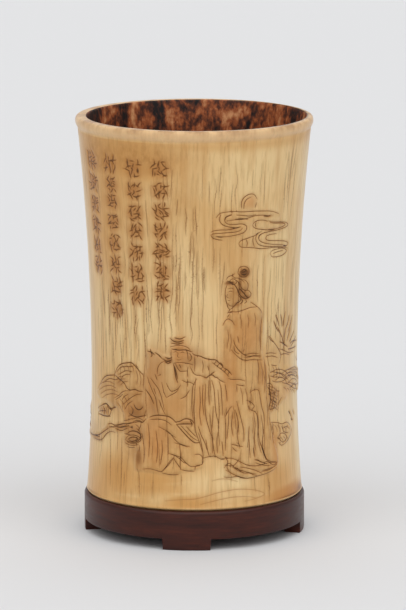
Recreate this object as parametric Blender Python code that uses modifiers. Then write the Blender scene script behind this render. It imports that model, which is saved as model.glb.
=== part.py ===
"""An ivory brush pot with a low carved scene, on a turned wooden stand. Metres, +Z up, the scene faces -Y."""

import math
import random

import bmesh
import bpy
from mathutils import Vector

MM = 0.001

# The pot, outside
POT_HEIGHT = 155.0 * MM
LIP_RADIUS = 47.7 * MM
LIP_HEIGHT = 5.2 * MM
NECK_RADIUS = 46.7 * MM
WAIST_RADIUS = 41.45 * MM
WAIST_SHARE = 0.32  # height of the waist, as a share of the pot's
FOOT_RADIUS = 43.7 * MM
SPIGOT_INSET = 2.3 * MM  # how much narrower than the stand the part in the recess is
FOOT_EDGE = 1.2 * MM  # rounding above the spigot

# The pot, inside
WALL = 3.5 * MM
BORE_OFFSET = 1.1 * MM  # the bore isn't centred in the tusk
FLOOR = 6.0 * MM
FLOOR_ROUNDING = 4.0 * MM
MOUTH_ROUNDING = 0.9 * MM

# The stand
STAND_RADIUS = 44.5 * MM
STAND_HEIGHT = 15.8 * MM
FOOT_HEIGHT = 4.4 * MM
FEET = 4
FEET_TURN = -4.0  # degrees, of the front foot
FOOT_WIDTH = 25.0  # degrees
FOOT_DEPTH = 6.2 * MM
RECESS = 2.4 * MM
BOARD = 6.0 * MM  # wood under the recess
APRON = 6.5 * MM  # thickness of the ring round the hollow underside
EDGE_ROUNDING = 1.3 * MM
SMALL_EDGE = 0.5 * MM
GAP = 0.3 * MM  # between the pot and the stand
FOOT_SETBACK = 0.02 * MM  # a foot's face is this far inside the ring's
FOOT_OVERLAP = 1.0 * MM  # how far a foot reaches up into the ring

# The carving. Its drawing is in mm: across, round the wall from the front, and up, from the ground.
SINK = 0.9  # how far raised shapes reach into the wall
FIGURE_GROOVE = 0.34  # depth of a cut line, and half its width
MARK_GROOVE = 0.3
DRAWN_HEIGHT = 155.0  # the pot's height in the drawing
DRAWN_BASE = 13.7  # where the pot's foot is in the drawing
DRAWN_RADIUS = 42.0  # 1 mm across is this share of a turn
BEND_STEP = 7.0  # raised shapes are split this often across, so that they bend
OVAL_POINTS = 12
MARK_SIZE = 6.4
MARK_PITCH = 8.5
FOLD_PITCH = 3.9
FOLD_LIFT = 5.0  # every second fold ends this far above the hem
DOME_ARCS = 2

TURNED_STEPS = 44
WELD = 0.01 * MM  # points nearer than this are one
SMOOTH_ANGLE = 35.0  # degrees; sharper edges stay edges
POT_BASE = STAND_HEIGHT - RECESS + GAP
POT_TOP = POT_BASE + POT_HEIGHT
NECK = POT_TOP - LIP_HEIGHT
WAIST = POT_BASE + WAIST_SHARE * POT_HEIGHT
SPIGOT_TOP = STAND_HEIGHT + GAP
SPIGOT_RADIUS = STAND_RADIUS - SPIGOT_INSET

# Ovals that stand out of the wall: across, up, half width, half height, how far they stand out
OVALS = {
    "standing_head": (18.2, 103.6, 6.0, 7.2, 0.84),
    "standing_bun": (20.2, 111.6, 2.9, 3.0, 0.7),
    "seated_head": (-5.6, 79.6, 4.2, 5.2, 0.9),
    "seated_topknot": (-6.6, 84.8, 2.9, 1.7, 0.62),
    "knob": (-44.0, 52.4, 6.2, 3.0, 0.5),
    "tassel": (35.2, 58.6, 3.5, 5.8, 0.66),
    "garden_rock": (42.4, 43.4, 8.2, 5.0, 0.52),
    "cloud_top": (22.6, 133.0, 15.4, 4.3, 0.46),
    "cloud_right": (34.6, 128.6, 9.4, 3.7, 0.41),
    "cloud_left": (13.4, 128.0, 7.4, 2.8, 0.38),
    "cloud_low": (27.4, 123.4, 10.6, 3.5, 0.34),
    "cloud_tail": (38.0, 119.2, 7.8, 3.9, 0.3),
    "moon": (21.6, 139.6, 3.4, 3.4, 0.26),
}

# Rocks with a round top: across, foot, half width, height, how far they stand out
DOMES = {
    "upper_rock": (-28.2, 58.0, 8.6, 16.4, 0.56),
    "side_rock": (-40.8, 55.6, 10.4, 12.2, 0.49),
    "lower_rock": (-26.6, 40.0, 9.0, 23.0, 0.6),
}

# Leaves: across, up, length, direction in degrees
LEAVES = (
    (42.6, 89.4, 6.0, 48.0),
    (45.9, 86.6, 4.6, 62.0),
    (41.2, 83.0, 5.0, 66.0),
    (49.8, 81.4, 6.2, 4.0),
    (43.8, 79.4, 4.2, 24.0),
    (48.0, 76.6, 6.4, -33.0),
    (53.4, 78.8, 8.6, -10.0),
)
LEAF_HEIGHT = 0.4

# Other raised shapes: how far they stand out, and their outline
OUTLINES = {
    "standing_robe": (0.75, (
        (14.4, 95.8), (26.8, 97.0), (29.6, 93.4), (30.2, 80.0), (33.0, 69.0), (32.8, 57.0), (35.2, 48.0),
        (38.2, 33.2), (35.0, 29.2), (26.0, 28.0), (12.2, 28.8), (11.0, 40.0), (10.8, 79.0), (11.3, 91.0),
    )),
    "seated_robe": (0.68, (
        (-9.4, 78.4), (0.6, 79.6), (9.2, 77.0), (15.2, 70.6), (14.6, 50.0), (10.6, 37.0), (3.6, 36.2),
        (2.6, 33.2), (-12.8, 30.4), (-24.4, 31.2), (-24.4, 37.2), (-21.4, 45.0), (-21.6, 50.4),
        (-16.4, 54.2), (-21.2, 64.2), (-19.2, 74.0), (-19.9, 80.6),
    )),
    "branch": (0.44, (
        (-62.0, 38.6), (-45.0, 39.6), (-41.8, 42.8), (-33.0, 44.6), (-33.2, 48.6), (-40.6, 47.8),
        (-45.0, 44.6), (-62.0, 41.0),
    )),
    "right_ledges": (0.57, (
        (31.0, 73.4), (38.6, 71.4), (47.0, 69.8), (63.0, 66.4), (65.6, 62.6), (63.0, 57.6), (57.0, 57.4),
        (44.0, 62.6), (31.4, 64.6),
    )),
}

# Lines cut in the figures
LINES = (
    # hair band, collar, cuff and sash of the standing figure
    ((12.8, 107.3), (16.6, 106.0), (19.2, 102.2), (23.4, 101.2)),
    ((14.0, 95.4), (20.0, 96.2), (26.2, 96.4), (29.0, 93.4)),
    ((11.6, 90.8), (13.4, 92.8), (16.0, 90.2)),
    ((15.8, 84.4), (18.0, 79.8), (22.0, 77.4), (28.4, 76.6)),
    ((15.2, 80.2), (19.6, 76.0), (29.4, 74.8)),
    # its scarf end and hem
    ((23.3, 62.4), (26.4, 63.4), (28.6, 59.0), (30.2, 53.0), (30.2, 39.6)),
    ((13.2, 36.8), (20.0, 34.0), (26.0, 32.5), (37.2, 32.4)),
    ((15.0, 33.2), (21.0, 30.0), (28.0, 28.9)),
    # hat, shoulder and belt of the seated figure
    ((-9.4, 81.9), (-5.4, 82.4), (-2.0, 81.5)),
    ((-0.6, 78.8), (4.6, 77.2), (8.6, 76.4), (15.0, 70.2)),
    ((-1.2, 73.4), (0.2, 71.0), (6.4, 70.5), (12.6, 67.2)),
    # its sleeve
    ((-19.4, 79.7), (-15.0, 78.4), (-11.2, 76.2)),
    ((-14.8, 71.0), (-14.4, 73.8), (-12.4, 75.6)),
    ((-19.0, 69.0), (-16.6, 62.6), (-14.7, 55.2)),
    ((-15.6, 68.6), (-12.8, 60.0), (-11.4, 54.8)),
    ((-8.3, 74.4), (-7.4, 68.0), (-10.8, 61.6)),
    # its knee, fan and shoe
    ((-17.8, 53.0), (-12.4, 54.0), (-7.6, 51.6), (-0.8, 51.9)),
    ((-6.4, 50.2), (-2.2, 45.4), (0.2, 43.4)),
    ((-14.0, 49.3), (-9.0, 46.5), (-2.0, 42.0)),
    ((-20.4, 32.8), (-13.6, 32.5), (-8.2, 37.3)),
    # the branch
    ((-60.0, 39.9), (-50.0, 40.7), (-40.0, 45.9), (-33.6, 46.6)),
    # the clouds
    ((9.8, 133.2), (16.0, 135.2), (28.5, 135.1), (36.0, 132.0)),
    ((12.8, 131.0), (19.0, 130.8), (20.4, 129.2)),
    ((24.2, 131.3), (27.2, 132.6), (31.2, 132.7)),
    ((30.0, 131.0), (37.0, 129.8), (42.0, 128.2)),
    ((24.6, 126.0), (27.8, 122.8), (32.0, 121.9), (43.4, 120.6)),
    ((19.0, 122.2), (26.0, 120.9)),
    # the ledges and the garden rock
    ((34.4, 68.6), (41.0, 66.6), (56.0, 65.4)),
    ((41.6, 64.6), (50.0, 61.8), (59.0, 59.6)),
    ((36.2, 45.6), (42.6, 46.6), (48.4, 44.2)),
)

# Folds that hang between two levels: first and last across at the top, the same at the hem, top, hem
HANGING_FOLDS = (
    ((0.2, 11.0), (3.4, 12.6), 65.6, 42.0),
    ((17.4, 26.0), (18.6, 29.0), 59.0, 37.6),
)

# Columns of marks: how far across, the top mark's height, the lowest mark's height
COLUMNS = (
    (-46.5, 153.2, 110.7),
    (-34.5, 153.4, 93.9),
    (-23.4, 152.6, 101.6),
    (-12.6, 153.0, 102.0),
)


def clear_scene():
    for obj in list(bpy.data.objects):
        bpy.data.objects.remove(obj)


def add_collection(name, parent):
    collection = bpy.data.collections.new(name)
    parent.children.link(collection)
    return collection


def wall_radius(z):
    """Outer radius of the pot at this height, without its lip and spigot."""
    if z > WAIST:
        share = min((z - WAIST) / (NECK - WAIST), 1.0)
        return WAIST_RADIUS + (NECK_RADIUS - WAIST_RADIUS) * share**2
    share = min((WAIST - z) / (WAIST - POT_BASE), 1.0)
    return WAIST_RADIUS + (FOOT_RADIUS - WAIST_RADIUS) * share**1.8


def on_wall(across, up, out):
    """Where a point of the drawing is on the wall, out mm from it."""
    angle = across / DRAWN_RADIUS
    z = POT_BASE + (up - DRAWN_BASE) / DRAWN_HEIGHT * POT_HEIGHT
    radius = wall_radius(z) + out * MM
    return Vector((radius * math.sin(angle), -radius * math.cos(angle), z))


def oval(x, y, half_width, half_height, count=OVAL_POINTS):
    turns = [2 * math.pi * i / count for i in range(count)]
    return tuple((x + half_width * math.cos(turn), y + half_height * math.sin(turn)) for turn in turns)


def dome(x, foot, half_width, height, count=7):
    """The outline of a rock: a round top on a flat foot."""
    turns = [math.pi * i / count for i in range(count + 1)]
    return tuple((x + half_width * math.cos(turn), foot + height * math.sin(turn) ** 0.7) for turn in turns)


def leaf(x, y, length, degrees):
    """A pointed leaf, a quarter as wide as it is long."""
    turn = math.radians(degrees)
    outline = []
    for along, aside in ((-0.5, 0.0), (-0.15, -0.12), (0.2, -0.1), (0.5, 0.0), (0.2, 0.1), (-0.15, 0.12)):
        dx = length * (along * math.cos(turn) - aside * math.sin(turn))
        dy = length * (along * math.sin(turn) + aside * math.cos(turn))
        outline.append((x + dx, y + dy))
    return tuple(outline)


def raised_outlines():
    """Name, outline and height of every shape that stands out of the wall."""
    for name, (x, y, half_width, half_height, height) in OVALS.items():
        yield name, oval(x, y, half_width, half_height), height
    for name, (x, foot, half_width, rise, height) in DOMES.items():
        yield name, dome(x, foot, half_width, rise), height
    for i, (x, y, length, degrees) in enumerate(LEAVES):
        yield f"leaf_{i}", leaf(x, y, length, degrees), LEAF_HEIGHT
    for name, (height, outline) in OUTLINES.items():
        yield name, outline, height


def inside(point, outline):
    x, y = point
    found = False
    for (x0, y0), (x1, y1) in zip(outline, outline[1:] + outline[:1]):
        if (y0 > y) != (y1 > y) and x < x0 + (y - y0) / (y1 - y0) * (x1 - x0):
            found = not found
    return found


def relief_at(point, shapes):
    """How far the carving stands out at a point of the drawing, in mm."""
    return max((height for _, outline, height in shapes if inside(point, outline)), default=0.0)


def dome_lines():
    """Arcs cut in each rock, inside its round top."""
    for x, foot, half_width, rise, _ in DOMES.values():
        for i in range(1, DOME_ARCS + 1):
            share = 1.0 - 0.22 * i
            turns = [math.radians(20.0 + 46.0 * k) for k in range(4)]
            yield tuple(
                (x + share * half_width * math.cos(turn), foot + share * rise * math.sin(turn) ** 0.7)
                for turn in turns
            )


def fold_lines():
    for (top_first, top_last), (low_first, low_last), top, low in HANGING_FOLDS:
        gaps = round((top_last - top_first) / FOLD_PITCH)
        for i in range(gaps + 1):
            share = i / gaps
            upper = top_first + (top_last - top_first) * share
            lower = low_first + (low_last - low_first) * share
            middle = (upper + lower) / 2 + 0.4 * (-1) ** i
            lift = FOLD_LIFT * (i % 2)
            yield (upper, top), (middle, (top + low) / 2), (lower, low + lift)


def mark_lines():
    """Two short strokes in each cell of each column, which aren't letters."""
    source = random.Random(7)
    half = MARK_SIZE / 2
    for x, top, low in COLUMNS:
        for row in range(round((top - low) / MARK_PITCH) + 1):
            y = top - row * MARK_PITCH
            tilt = source.uniform(0.4, 1.2)
            level = source.uniform(-0.5, 0.5) * half
            upright = source.uniform(-0.5, 0.5) * half
            yield (x - half, y + level - tilt / 2), (x + half, y + level + tilt / 2)
            yield (x + upright, y + half), (x + upright - tilt / 2, y - half)


def mesh_object(name, mesh, collection):
    obj = bpy.data.objects.new(name, mesh)
    collection.objects.link(obj)
    return obj


def turned(name, profile, collection):
    """A solid of revolution from (radius, height) points that run from the axis down to the axis."""
    mesh = bpy.data.meshes.new(name)
    edges = [(i, i + 1) for i in range(len(profile) - 1)]
    mesh.from_pydata([(radius, 0.0, z) for radius, z in profile], edges, [])
    obj = mesh_object(name, mesh, collection)
    screw = obj.modifiers.new("Turn", "SCREW")
    screw.steps = TURNED_STEPS
    screw.render_steps = TURNED_STEPS
    screw.use_merge_vertices = True
    screw.merge_threshold = WELD
    return obj


def add_spline(curve, points, cyclic):
    spline = curve.splines.new("POLY")
    spline.points.add(len(points) - 1)
    for target, (x, y, z) in zip(spline.points, points):
        target.co = (x, y, z, 1.0)
    spline.use_cyclic_u = cyclic


def closed_shape(curve, weld):
    """The curve's mesh, for editing, with the caps joined to the sides."""
    obj = bpy.data.objects.new(curve.name, curve)
    bpy.context.scene.collection.objects.link(obj)
    graph = bpy.context.evaluated_depsgraph_get()
    mesh = bpy.data.meshes.new_from_object(obj.evaluated_get(graph))
    bpy.data.objects.remove(obj)
    shape = bmesh.new()
    shape.from_mesh(mesh)
    bmesh.ops.remove_doubles(shape, verts=shape.verts, dist=weld)
    return mesh, shape


def finish_shape(mesh, shape):
    bmesh.ops.recalc_face_normals(shape, faces=shape.faces)
    if shape.calc_volume(signed=True) < 0:
        bmesh.ops.reverse_faces(shape, faces=shape.faces)
    shape.to_mesh(mesh)
    shape.free()


def bend_onto_wall(mesh, shape):
    """Takes a shape from the drawing, its third number the distance out, onto the wall."""
    for vertex in shape.verts:
        across, up, out = vertex.co
        vertex.co = on_wall(across, up, out)
    finish_shape(mesh, shape)


def flat_curve(name, outline, thickness):
    curve = bpy.data.curves.new(name, "CURVE")
    curve.dimensions = "2D"
    curve.fill_mode = "BOTH"
    curve.extrude = thickness / 2
    add_spline(curve, [(x, y, 0.0) for x, y in outline], True)
    return curve


def raised_shape(name, outline, height, collection):
    """A flat-topped shape that stands out of the wall by height and reaches SINK into it."""
    mesh, shape = closed_shape(flat_curve(name, outline, height + SINK), 0.001)
    bmesh.ops.translate(shape, verts=shape.verts, vec=(0.0, 0.0, (height - SINK) / 2))
    across = [x for x, _ in outline]
    at = math.ceil(min(across) / BEND_STEP) * BEND_STEP
    while at < max(across):
        parts = shape.verts[:] + shape.edges[:] + shape.faces[:]
        bmesh.ops.bisect_plane(shape, geom=parts, dist=0.0001, plane_co=(at, 0, 0), plane_no=(1, 0, 0))
        at += BEND_STEP
    bend_onto_wall(mesh, shape)
    mesh_object(name, mesh, collection)


def cut_line(name, points, half_width, shapes, collection):
    """A cutter along a line of the drawing, on top of the raised shapes."""
    curve = bpy.data.curves.new(name, "CURVE")
    curve.dimensions = "3D"
    curve.bevel_depth = half_width
    curve.bevel_resolution = 0
    curve.use_fill_caps = True
    add_spline(curve, [(x, y, relief_at((x, y), shapes)) for x, y in points], False)
    mesh, shape = closed_shape(curve, 0.001)
    bend_onto_wall(mesh, shape)
    mesh_object(name, mesh, collection)


def boolean(obj, name, operation, operand, solver="EXACT"):
    modifier = obj.modifiers.new(name, "BOOLEAN")
    modifier.operation = operation
    modifier.solver = solver
    if isinstance(operand, bpy.types.Collection):
        modifier.operand_type = "COLLECTION"
        modifier.collection = operand
    else:
        modifier.object = operand


def pot_profile():
    """The outside, from the axis at the top, over the lip and down the wall to the axis below."""
    points = [
        (0.0, POT_TOP),
        (LIP_RADIUS - 0.28 * LIP_HEIGHT, POT_TOP),
        (LIP_RADIUS - 0.11 * LIP_HEIGHT, POT_TOP - 0.1 * LIP_HEIGHT),
        (LIP_RADIUS - 0.02 * LIP_HEIGHT, POT_TOP - 0.27 * LIP_HEIGHT),
        (LIP_RADIUS, POT_TOP - 0.46 * LIP_HEIGHT),
        (LIP_RADIUS - 0.04 * LIP_HEIGHT, POT_TOP - 0.68 * LIP_HEIGHT),
        (NECK_RADIUS, NECK),
    ]
    rows = 9
    low = SPIGOT_TOP + FOOT_EDGE
    for i in range(1, rows + 1):
        z = NECK + (low - NECK) * i / rows
        points.append((wall_radius(z), z))
    return points + [
        (FOOT_RADIUS - 0.3 * FOOT_EDGE, SPIGOT_TOP + 0.3 * FOOT_EDGE),
        (SPIGOT_RADIUS, SPIGOT_TOP),
        (SPIGOT_RADIUS, POT_BASE + SMALL_EDGE),
        (SPIGOT_RADIUS - SMALL_EDGE, POT_BASE),
        (0.0, POT_BASE),
    ]


def bore_profile():
    """The hollow, from above the mouth down to the floor."""
    floor = POT_BASE + FLOOR
    above = POT_TOP + LIP_HEIGHT
    mouth = NECK_RADIUS - WALL + MOUTH_ROUNDING
    points = [
        (0.0, above),
        (mouth + MOUTH_ROUNDING, above),
        (mouth + MOUTH_ROUNDING, POT_TOP),
        (mouth + 0.3 * MOUTH_ROUNDING, POT_TOP - 0.4 * MOUTH_ROUNDING),
        (mouth, POT_TOP - 1.2 * MOUTH_ROUNDING),
    ]
    rows = 4
    for i in range(rows + 1):
        z = NECK + (WAIST - NECK) * i / rows
        points.append((wall_radius(z) - WALL, z))
    inner = WAIST_RADIUS - WALL
    return points + [
        (inner, floor + FLOOR_ROUNDING),
        (inner - 0.3 * FLOOR_ROUNDING, floor + 0.3 * FLOOR_ROUNDING),
        (inner - FLOOR_ROUNDING, floor),
        (0.0, floor),
    ]


def brush_pot(parts, helpers):
    pot = turned("brush_pot", pot_profile(), parts)
    shapes = list(raised_outlines())
    raised = add_collection("raised", helpers)
    for name, outline, height in shapes:
        raised_shape(name, outline, height, raised)
    lines = add_collection("lines", helpers)
    for i, points in enumerate((*LINES, *dome_lines(), *fold_lines())):
        cut_line(f"line_{i}", points, FIGURE_GROOVE, shapes, lines)
    for i, points in enumerate(mark_lines()):
        cut_line(f"mark_{i}", points, MARK_GROOVE, shapes, lines)
    bore = turned("bore", bore_profile(), helpers)
    bore.location.x = BORE_OFFSET
    # Crossing lines leave open edges with the exact solver
    boolean(pot, "Raise", "UNION", raised)
    boolean(pot, "Cut lines", "DIFFERENCE", lines, "MANIFOLD")
    boolean(pot, "Bore", "DIFFERENCE", bore, "MANIFOLD")
    return pot


def stand_profile():
    """The ring with its recess and hollow underside, without feet."""
    recess_radius = SPIGOT_RADIUS + GAP
    recess_floor = STAND_HEIGHT - RECESS
    hollow = recess_floor - BOARD
    hollow_radius = STAND_RADIUS - APRON
    return [
        (0.0, recess_floor),
        (recess_radius, recess_floor),
        (recess_radius, STAND_HEIGHT - SMALL_EDGE / 2),
        (recess_radius + SMALL_EDGE / 2, STAND_HEIGHT),
        (STAND_RADIUS - EDGE_ROUNDING, STAND_HEIGHT),
        (STAND_RADIUS - 0.55 * EDGE_ROUNDING, STAND_HEIGHT - 0.12 * EDGE_ROUNDING),
        (STAND_RADIUS - 0.15 * EDGE_ROUNDING, STAND_HEIGHT - 0.5 * EDGE_ROUNDING),
        (STAND_RADIUS, STAND_HEIGHT - EDGE_ROUNDING),
        (STAND_RADIUS, FOOT_HEIGHT + SMALL_EDGE),
        (STAND_RADIUS - SMALL_EDGE, FOOT_HEIGHT),
        (hollow_radius, FOOT_HEIGHT),
        (hollow_radius, hollow - SMALL_EDGE),
        (hollow_radius - SMALL_EDGE, hollow),
        (0.0, hollow),
    ]


def foot_outline(middle):
    """A piece of a ring, seen from above: its outer face a little inside the stand's."""
    half = math.radians(FOOT_WIDTH / 2)
    outer = STAND_RADIUS - FOOT_SETBACK
    steps = 4
    turns = [middle + half * (2 * i / steps - 1) for i in range(steps + 1)]
    outside = [(outer * math.sin(turn), -outer * math.cos(turn)) for turn in turns]
    inner = STAND_RADIUS - FOOT_DEPTH
    inward = [(inner * math.sin(turn), -inner * math.cos(turn)) for turn in reversed(turns)]
    return outside + inward


def foot_block(index, collection):
    """A bracket foot, from the ground up into the ring."""
    name = f"foot_{index}"
    height = FOOT_HEIGHT + SMALL_EDGE + FOOT_OVERLAP
    middle = math.radians(FEET_TURN + 360.0 * index / FEET)
    mesh, shape = closed_shape(flat_curve(name, foot_outline(middle), height), WELD)
    bmesh.ops.translate(shape, verts=shape.verts, vec=(0.0, 0.0, height / 2))
    finish_shape(mesh, shape)
    mesh_object(name, mesh, collection)


def wooden_stand(parts, helpers):
    stand = turned("wooden_stand", stand_profile(), parts)
    feet = add_collection("feet", helpers)
    for index in range(FEET):
        foot_block(index, feet)
    boolean(stand, "Feet", "UNION", feet)
    return stand


def give_material(obj, name, colour, roughness):
    made = bpy.data.materials.new(name)
    made.use_nodes = True
    shader = made.node_tree.nodes["Principled BSDF"]
    shader.inputs["Base Color"].default_value = (*colour, 1.0)
    shader.inputs["Roughness"].default_value = roughness
    obj.data.materials.append(made)


def shade(obj):
    """Keeps the finished form as a plain mesh, smooth between its edges."""
    graph = bpy.context.evaluated_depsgraph_get()
    mesh = bpy.data.meshes.new_from_object(obj.evaluated_get(graph))
    obj.modifiers.clear()
    obj.data = mesh
    mesh.shade_smooth()
    mesh.set_sharp_from_angle(angle=math.radians(SMOOTH_ANGLE))


def main():
    clear_scene()
    parts = add_collection("brush_pot_on_stand", bpy.context.scene.collection)
    helpers = add_collection("helpers", bpy.context.scene.collection)
    pot = brush_pot(parts, helpers)
    stand = wooden_stand(parts, helpers)
    shade(pot)
    shade(stand)
    give_material(pot, "Ivory", (0.56, 0.34, 0.14), 0.38)
    give_material(stand, "Dark hardwood", (0.055, 0.02, 0.014), 0.34)
    for helper in list(helpers.all_objects):
        bpy.data.objects.remove(helper)


main()
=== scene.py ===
"""The looks of an ivory brush pot on a wooden stand: carved and stained wall, dark inside, waxed wood."""

import math
import random

import bpy
import numpy as np
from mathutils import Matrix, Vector
from mathutils.geometry import delaunay_2d_cdt

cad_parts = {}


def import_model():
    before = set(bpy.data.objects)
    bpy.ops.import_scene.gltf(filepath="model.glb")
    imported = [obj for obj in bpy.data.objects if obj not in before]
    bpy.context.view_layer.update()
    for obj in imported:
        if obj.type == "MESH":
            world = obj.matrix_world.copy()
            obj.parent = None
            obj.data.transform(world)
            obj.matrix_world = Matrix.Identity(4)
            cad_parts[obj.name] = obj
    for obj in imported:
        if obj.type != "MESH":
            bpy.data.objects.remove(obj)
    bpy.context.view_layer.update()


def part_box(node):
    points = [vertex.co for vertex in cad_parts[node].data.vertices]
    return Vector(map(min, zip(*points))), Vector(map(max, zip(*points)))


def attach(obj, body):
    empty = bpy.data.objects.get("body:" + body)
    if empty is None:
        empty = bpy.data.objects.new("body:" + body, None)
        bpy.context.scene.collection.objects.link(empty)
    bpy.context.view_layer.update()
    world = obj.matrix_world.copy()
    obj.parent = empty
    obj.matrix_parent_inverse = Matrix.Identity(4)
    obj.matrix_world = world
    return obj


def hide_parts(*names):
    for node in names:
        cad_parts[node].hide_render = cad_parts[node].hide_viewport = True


MM = 0.001
CLOSE = 1e-4  # mm; points nearer than this are one

# The pot's sizes in mm, as the solids have them
NECK_RADIUS = 46.7
WAIST_RADIUS = 41.45
WAIST_SHARE = 0.32
FOOT_RADIUS = 43.7
FOOT_EDGE = 1.2
SPIGOT_INSET = 1.5
LIP_OVERHANG = 1.0
LIP_HEIGHT = 5.2
WALL = 3.5
BORE_OFFSET = 1.1
FLOOR = 6.0
FLOOR_ROUNDING = 4.0
MOUTH_ROUNDING = 0.9
SMALL_EDGE = 0.5

# The stand in mm and degrees
FOOT_HEIGHT = 4.4
FEET = 4
FEET_TURN = -4.0
FOOT_WIDTH = 25.0
FOOT_SLOPE = 0.35
RECESS = 2.4
GAP = 0.3
BOARD = 6.0
APRON = 6.5
EDGE_ROUNDING = 1.3
SHARP_ANGLE = 38.0

# The drawing: mm across, round the wall from the front, and mm up, from the ground
DRAWN_RADIUS = 42.0
HALF_TURN = math.pi * DRAWN_RADIUS
COLUMNS = 264
WALL_ROWS = 74
BORE_ROWS = 26

# Zones of the wall's mesh: left, right, low, high, distance between points, all in mm
FINE_ZONES = ((-52.0, 66.0, 27.0, 92.0, 0.72), (5.0, 46.0, 92.0, 144.0, 0.8))
FRONT_HALF = 70.0
FRONT_PITCH = 1.2
BACK_PITCH = 2.6
CELL = 0.17  # mm; one point of the zones at most in a square of this size

# The camera, in metres and degrees, and how the picture is cut
CAMERA_DISTANCE = 2.05
CAMERA_HEIGHT = 0.4658
CAMERA_PITCH = 10.354
CAMERA_ASIDE = 0.0035
FOCAL_PIXELS = 5172.0
PICTURE_HEIGHT = 610
SENSOR = 36.0

# Soft suns: name, side they come from, height, spread, all in degrees, and strength
SUNS = (
    ("Left", -40.0, 45.0, 60.0, 0.66),
    ("Right", 40.0, 45.0, 60.0, 0.72),
    ("Front", 0.0, 35.0, 90.0, 0.36),
    ("Back", 180.0, 55.0, 60.0, 0.48),
    ("Top", 0.0, 88.0, 60.0, 0.42),
)

# How lines are cut: distance between their points, half width and depth in mm, and how dark they are
DARK_CUT = (0.6, 0.26, 0.34, 1.0)
PLAIN_CUT = (0.6, 0.17, 0.2, 0.95)
FINE_CUT = (0.6, 0.14, 0.14, 0.8)
FACE_CUT = (0.4, 0.16, 0.14, 0.9)
LEAF_CUT = (0.5, 0.3, 0.26, 0.95)
FAINT_CUT = (0.8, 0.25, 0.03, 0.35)
MARK_CUT = (0.75, 0.4, 0.24, 0.8)
CUT_REACH = 2.4  # mm; a cut changes nothing further away
CUT_BROWN = 0.85  # mm; how wide the brown beside a cut is
CUT_SINK = 0.14  # mm; how far a raised shape sinks beside a cut
SINKING = 0.2  # mm; only where the shape stands out further than this
LINE_END = 0.55  # how dark a line's ends are, as a share of its middle

# Age cracks, in mm: steps along them, half width, depth, how far they reach, where the mesh has side points
CRACK_STEP = 1.1
CRACK_WIDTH = 0.2
CRACK_DEPTH = 0.03
CRACK_REACH = 1.2
CRACK_SIDE = 0.19
CRACK_RUN = 4.0  # between the places where a small crack turns
CRACK_WANDER = 0.34
LEANING = (-16.0, 10.0)  # small cracks that start between these lean to the left

# Raised shapes
OUTLINE_STEP = 0.8  # mm between an outline's points
OUTLINE_REACH = 1.5  # mm; an outline changes nothing further out
OUTLINE_OUT = 0.12  # mm; a raised shape's slope begins this far outside its outline
OUTLINE_SLOPE = 0.45  # the slope's width, as a share of how soft the edge is
HIGHEST = 1.15  # mm
LAYER_SHARE = 0.3  # how much of the lower of two outlines shows in the upper one
OVAL_ON_OVAL = 0.35  # an oval's share of its height where it lies on another
ON_OVAL = 0.3  # mm; where the ovals before it stand out this far, it lies on one
OVAL_BROWN = 0.55

# Where the relief fades out, in mm from the wall's ends and from its seam at the back
END_FADE = 3.0
SEAM_FADE = 2.0

# The honey band under the lip, a painted shade under its overhang: middle and half height in mm, strength
LIP_SHADE_BAND = (162.4, 2.4, 0.55)

# In all lines and outlines below, a point is two whole numbers: tenths of a mm across and up

# Raised ovals: across, up, half width, half height, how far they stand out
OVALS = (
    (18, 103.4, 6.1, 7.4, 0.75), (14.4, 102, 2.6, 4.4, 0.5), (20.2, 111.4, 2.8, 2.9, 0.7),
    (-5.6, 79.4, 4.3, 5.2, 0.85), (-6.6, 84.9, 2.9, 1.6, 0.6), (13.4, 91, 2.2, 2, 0.5),
    (-44, 52.4, 6, 2.8, 0.5), (-25.8, 43.4, 4.6, 2.8, 0.3), (35, 58.6, 3.4, 5.6, 0.5),
    (43, 43.2, 6.6, 4.4, 0.35), (21.6, 139.6, 3.4, 3.4, 0.3), (-4, 51.4, 3.4, 1.6, 0.3),
    (-10.4, 76.4, 1.8, 1.6, 0.3), (-63.4, 49.4, 1.8, 2.6, 0.45), (-63.8, 43.6, 1.6, 2.2, 0.4),
)

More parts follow.
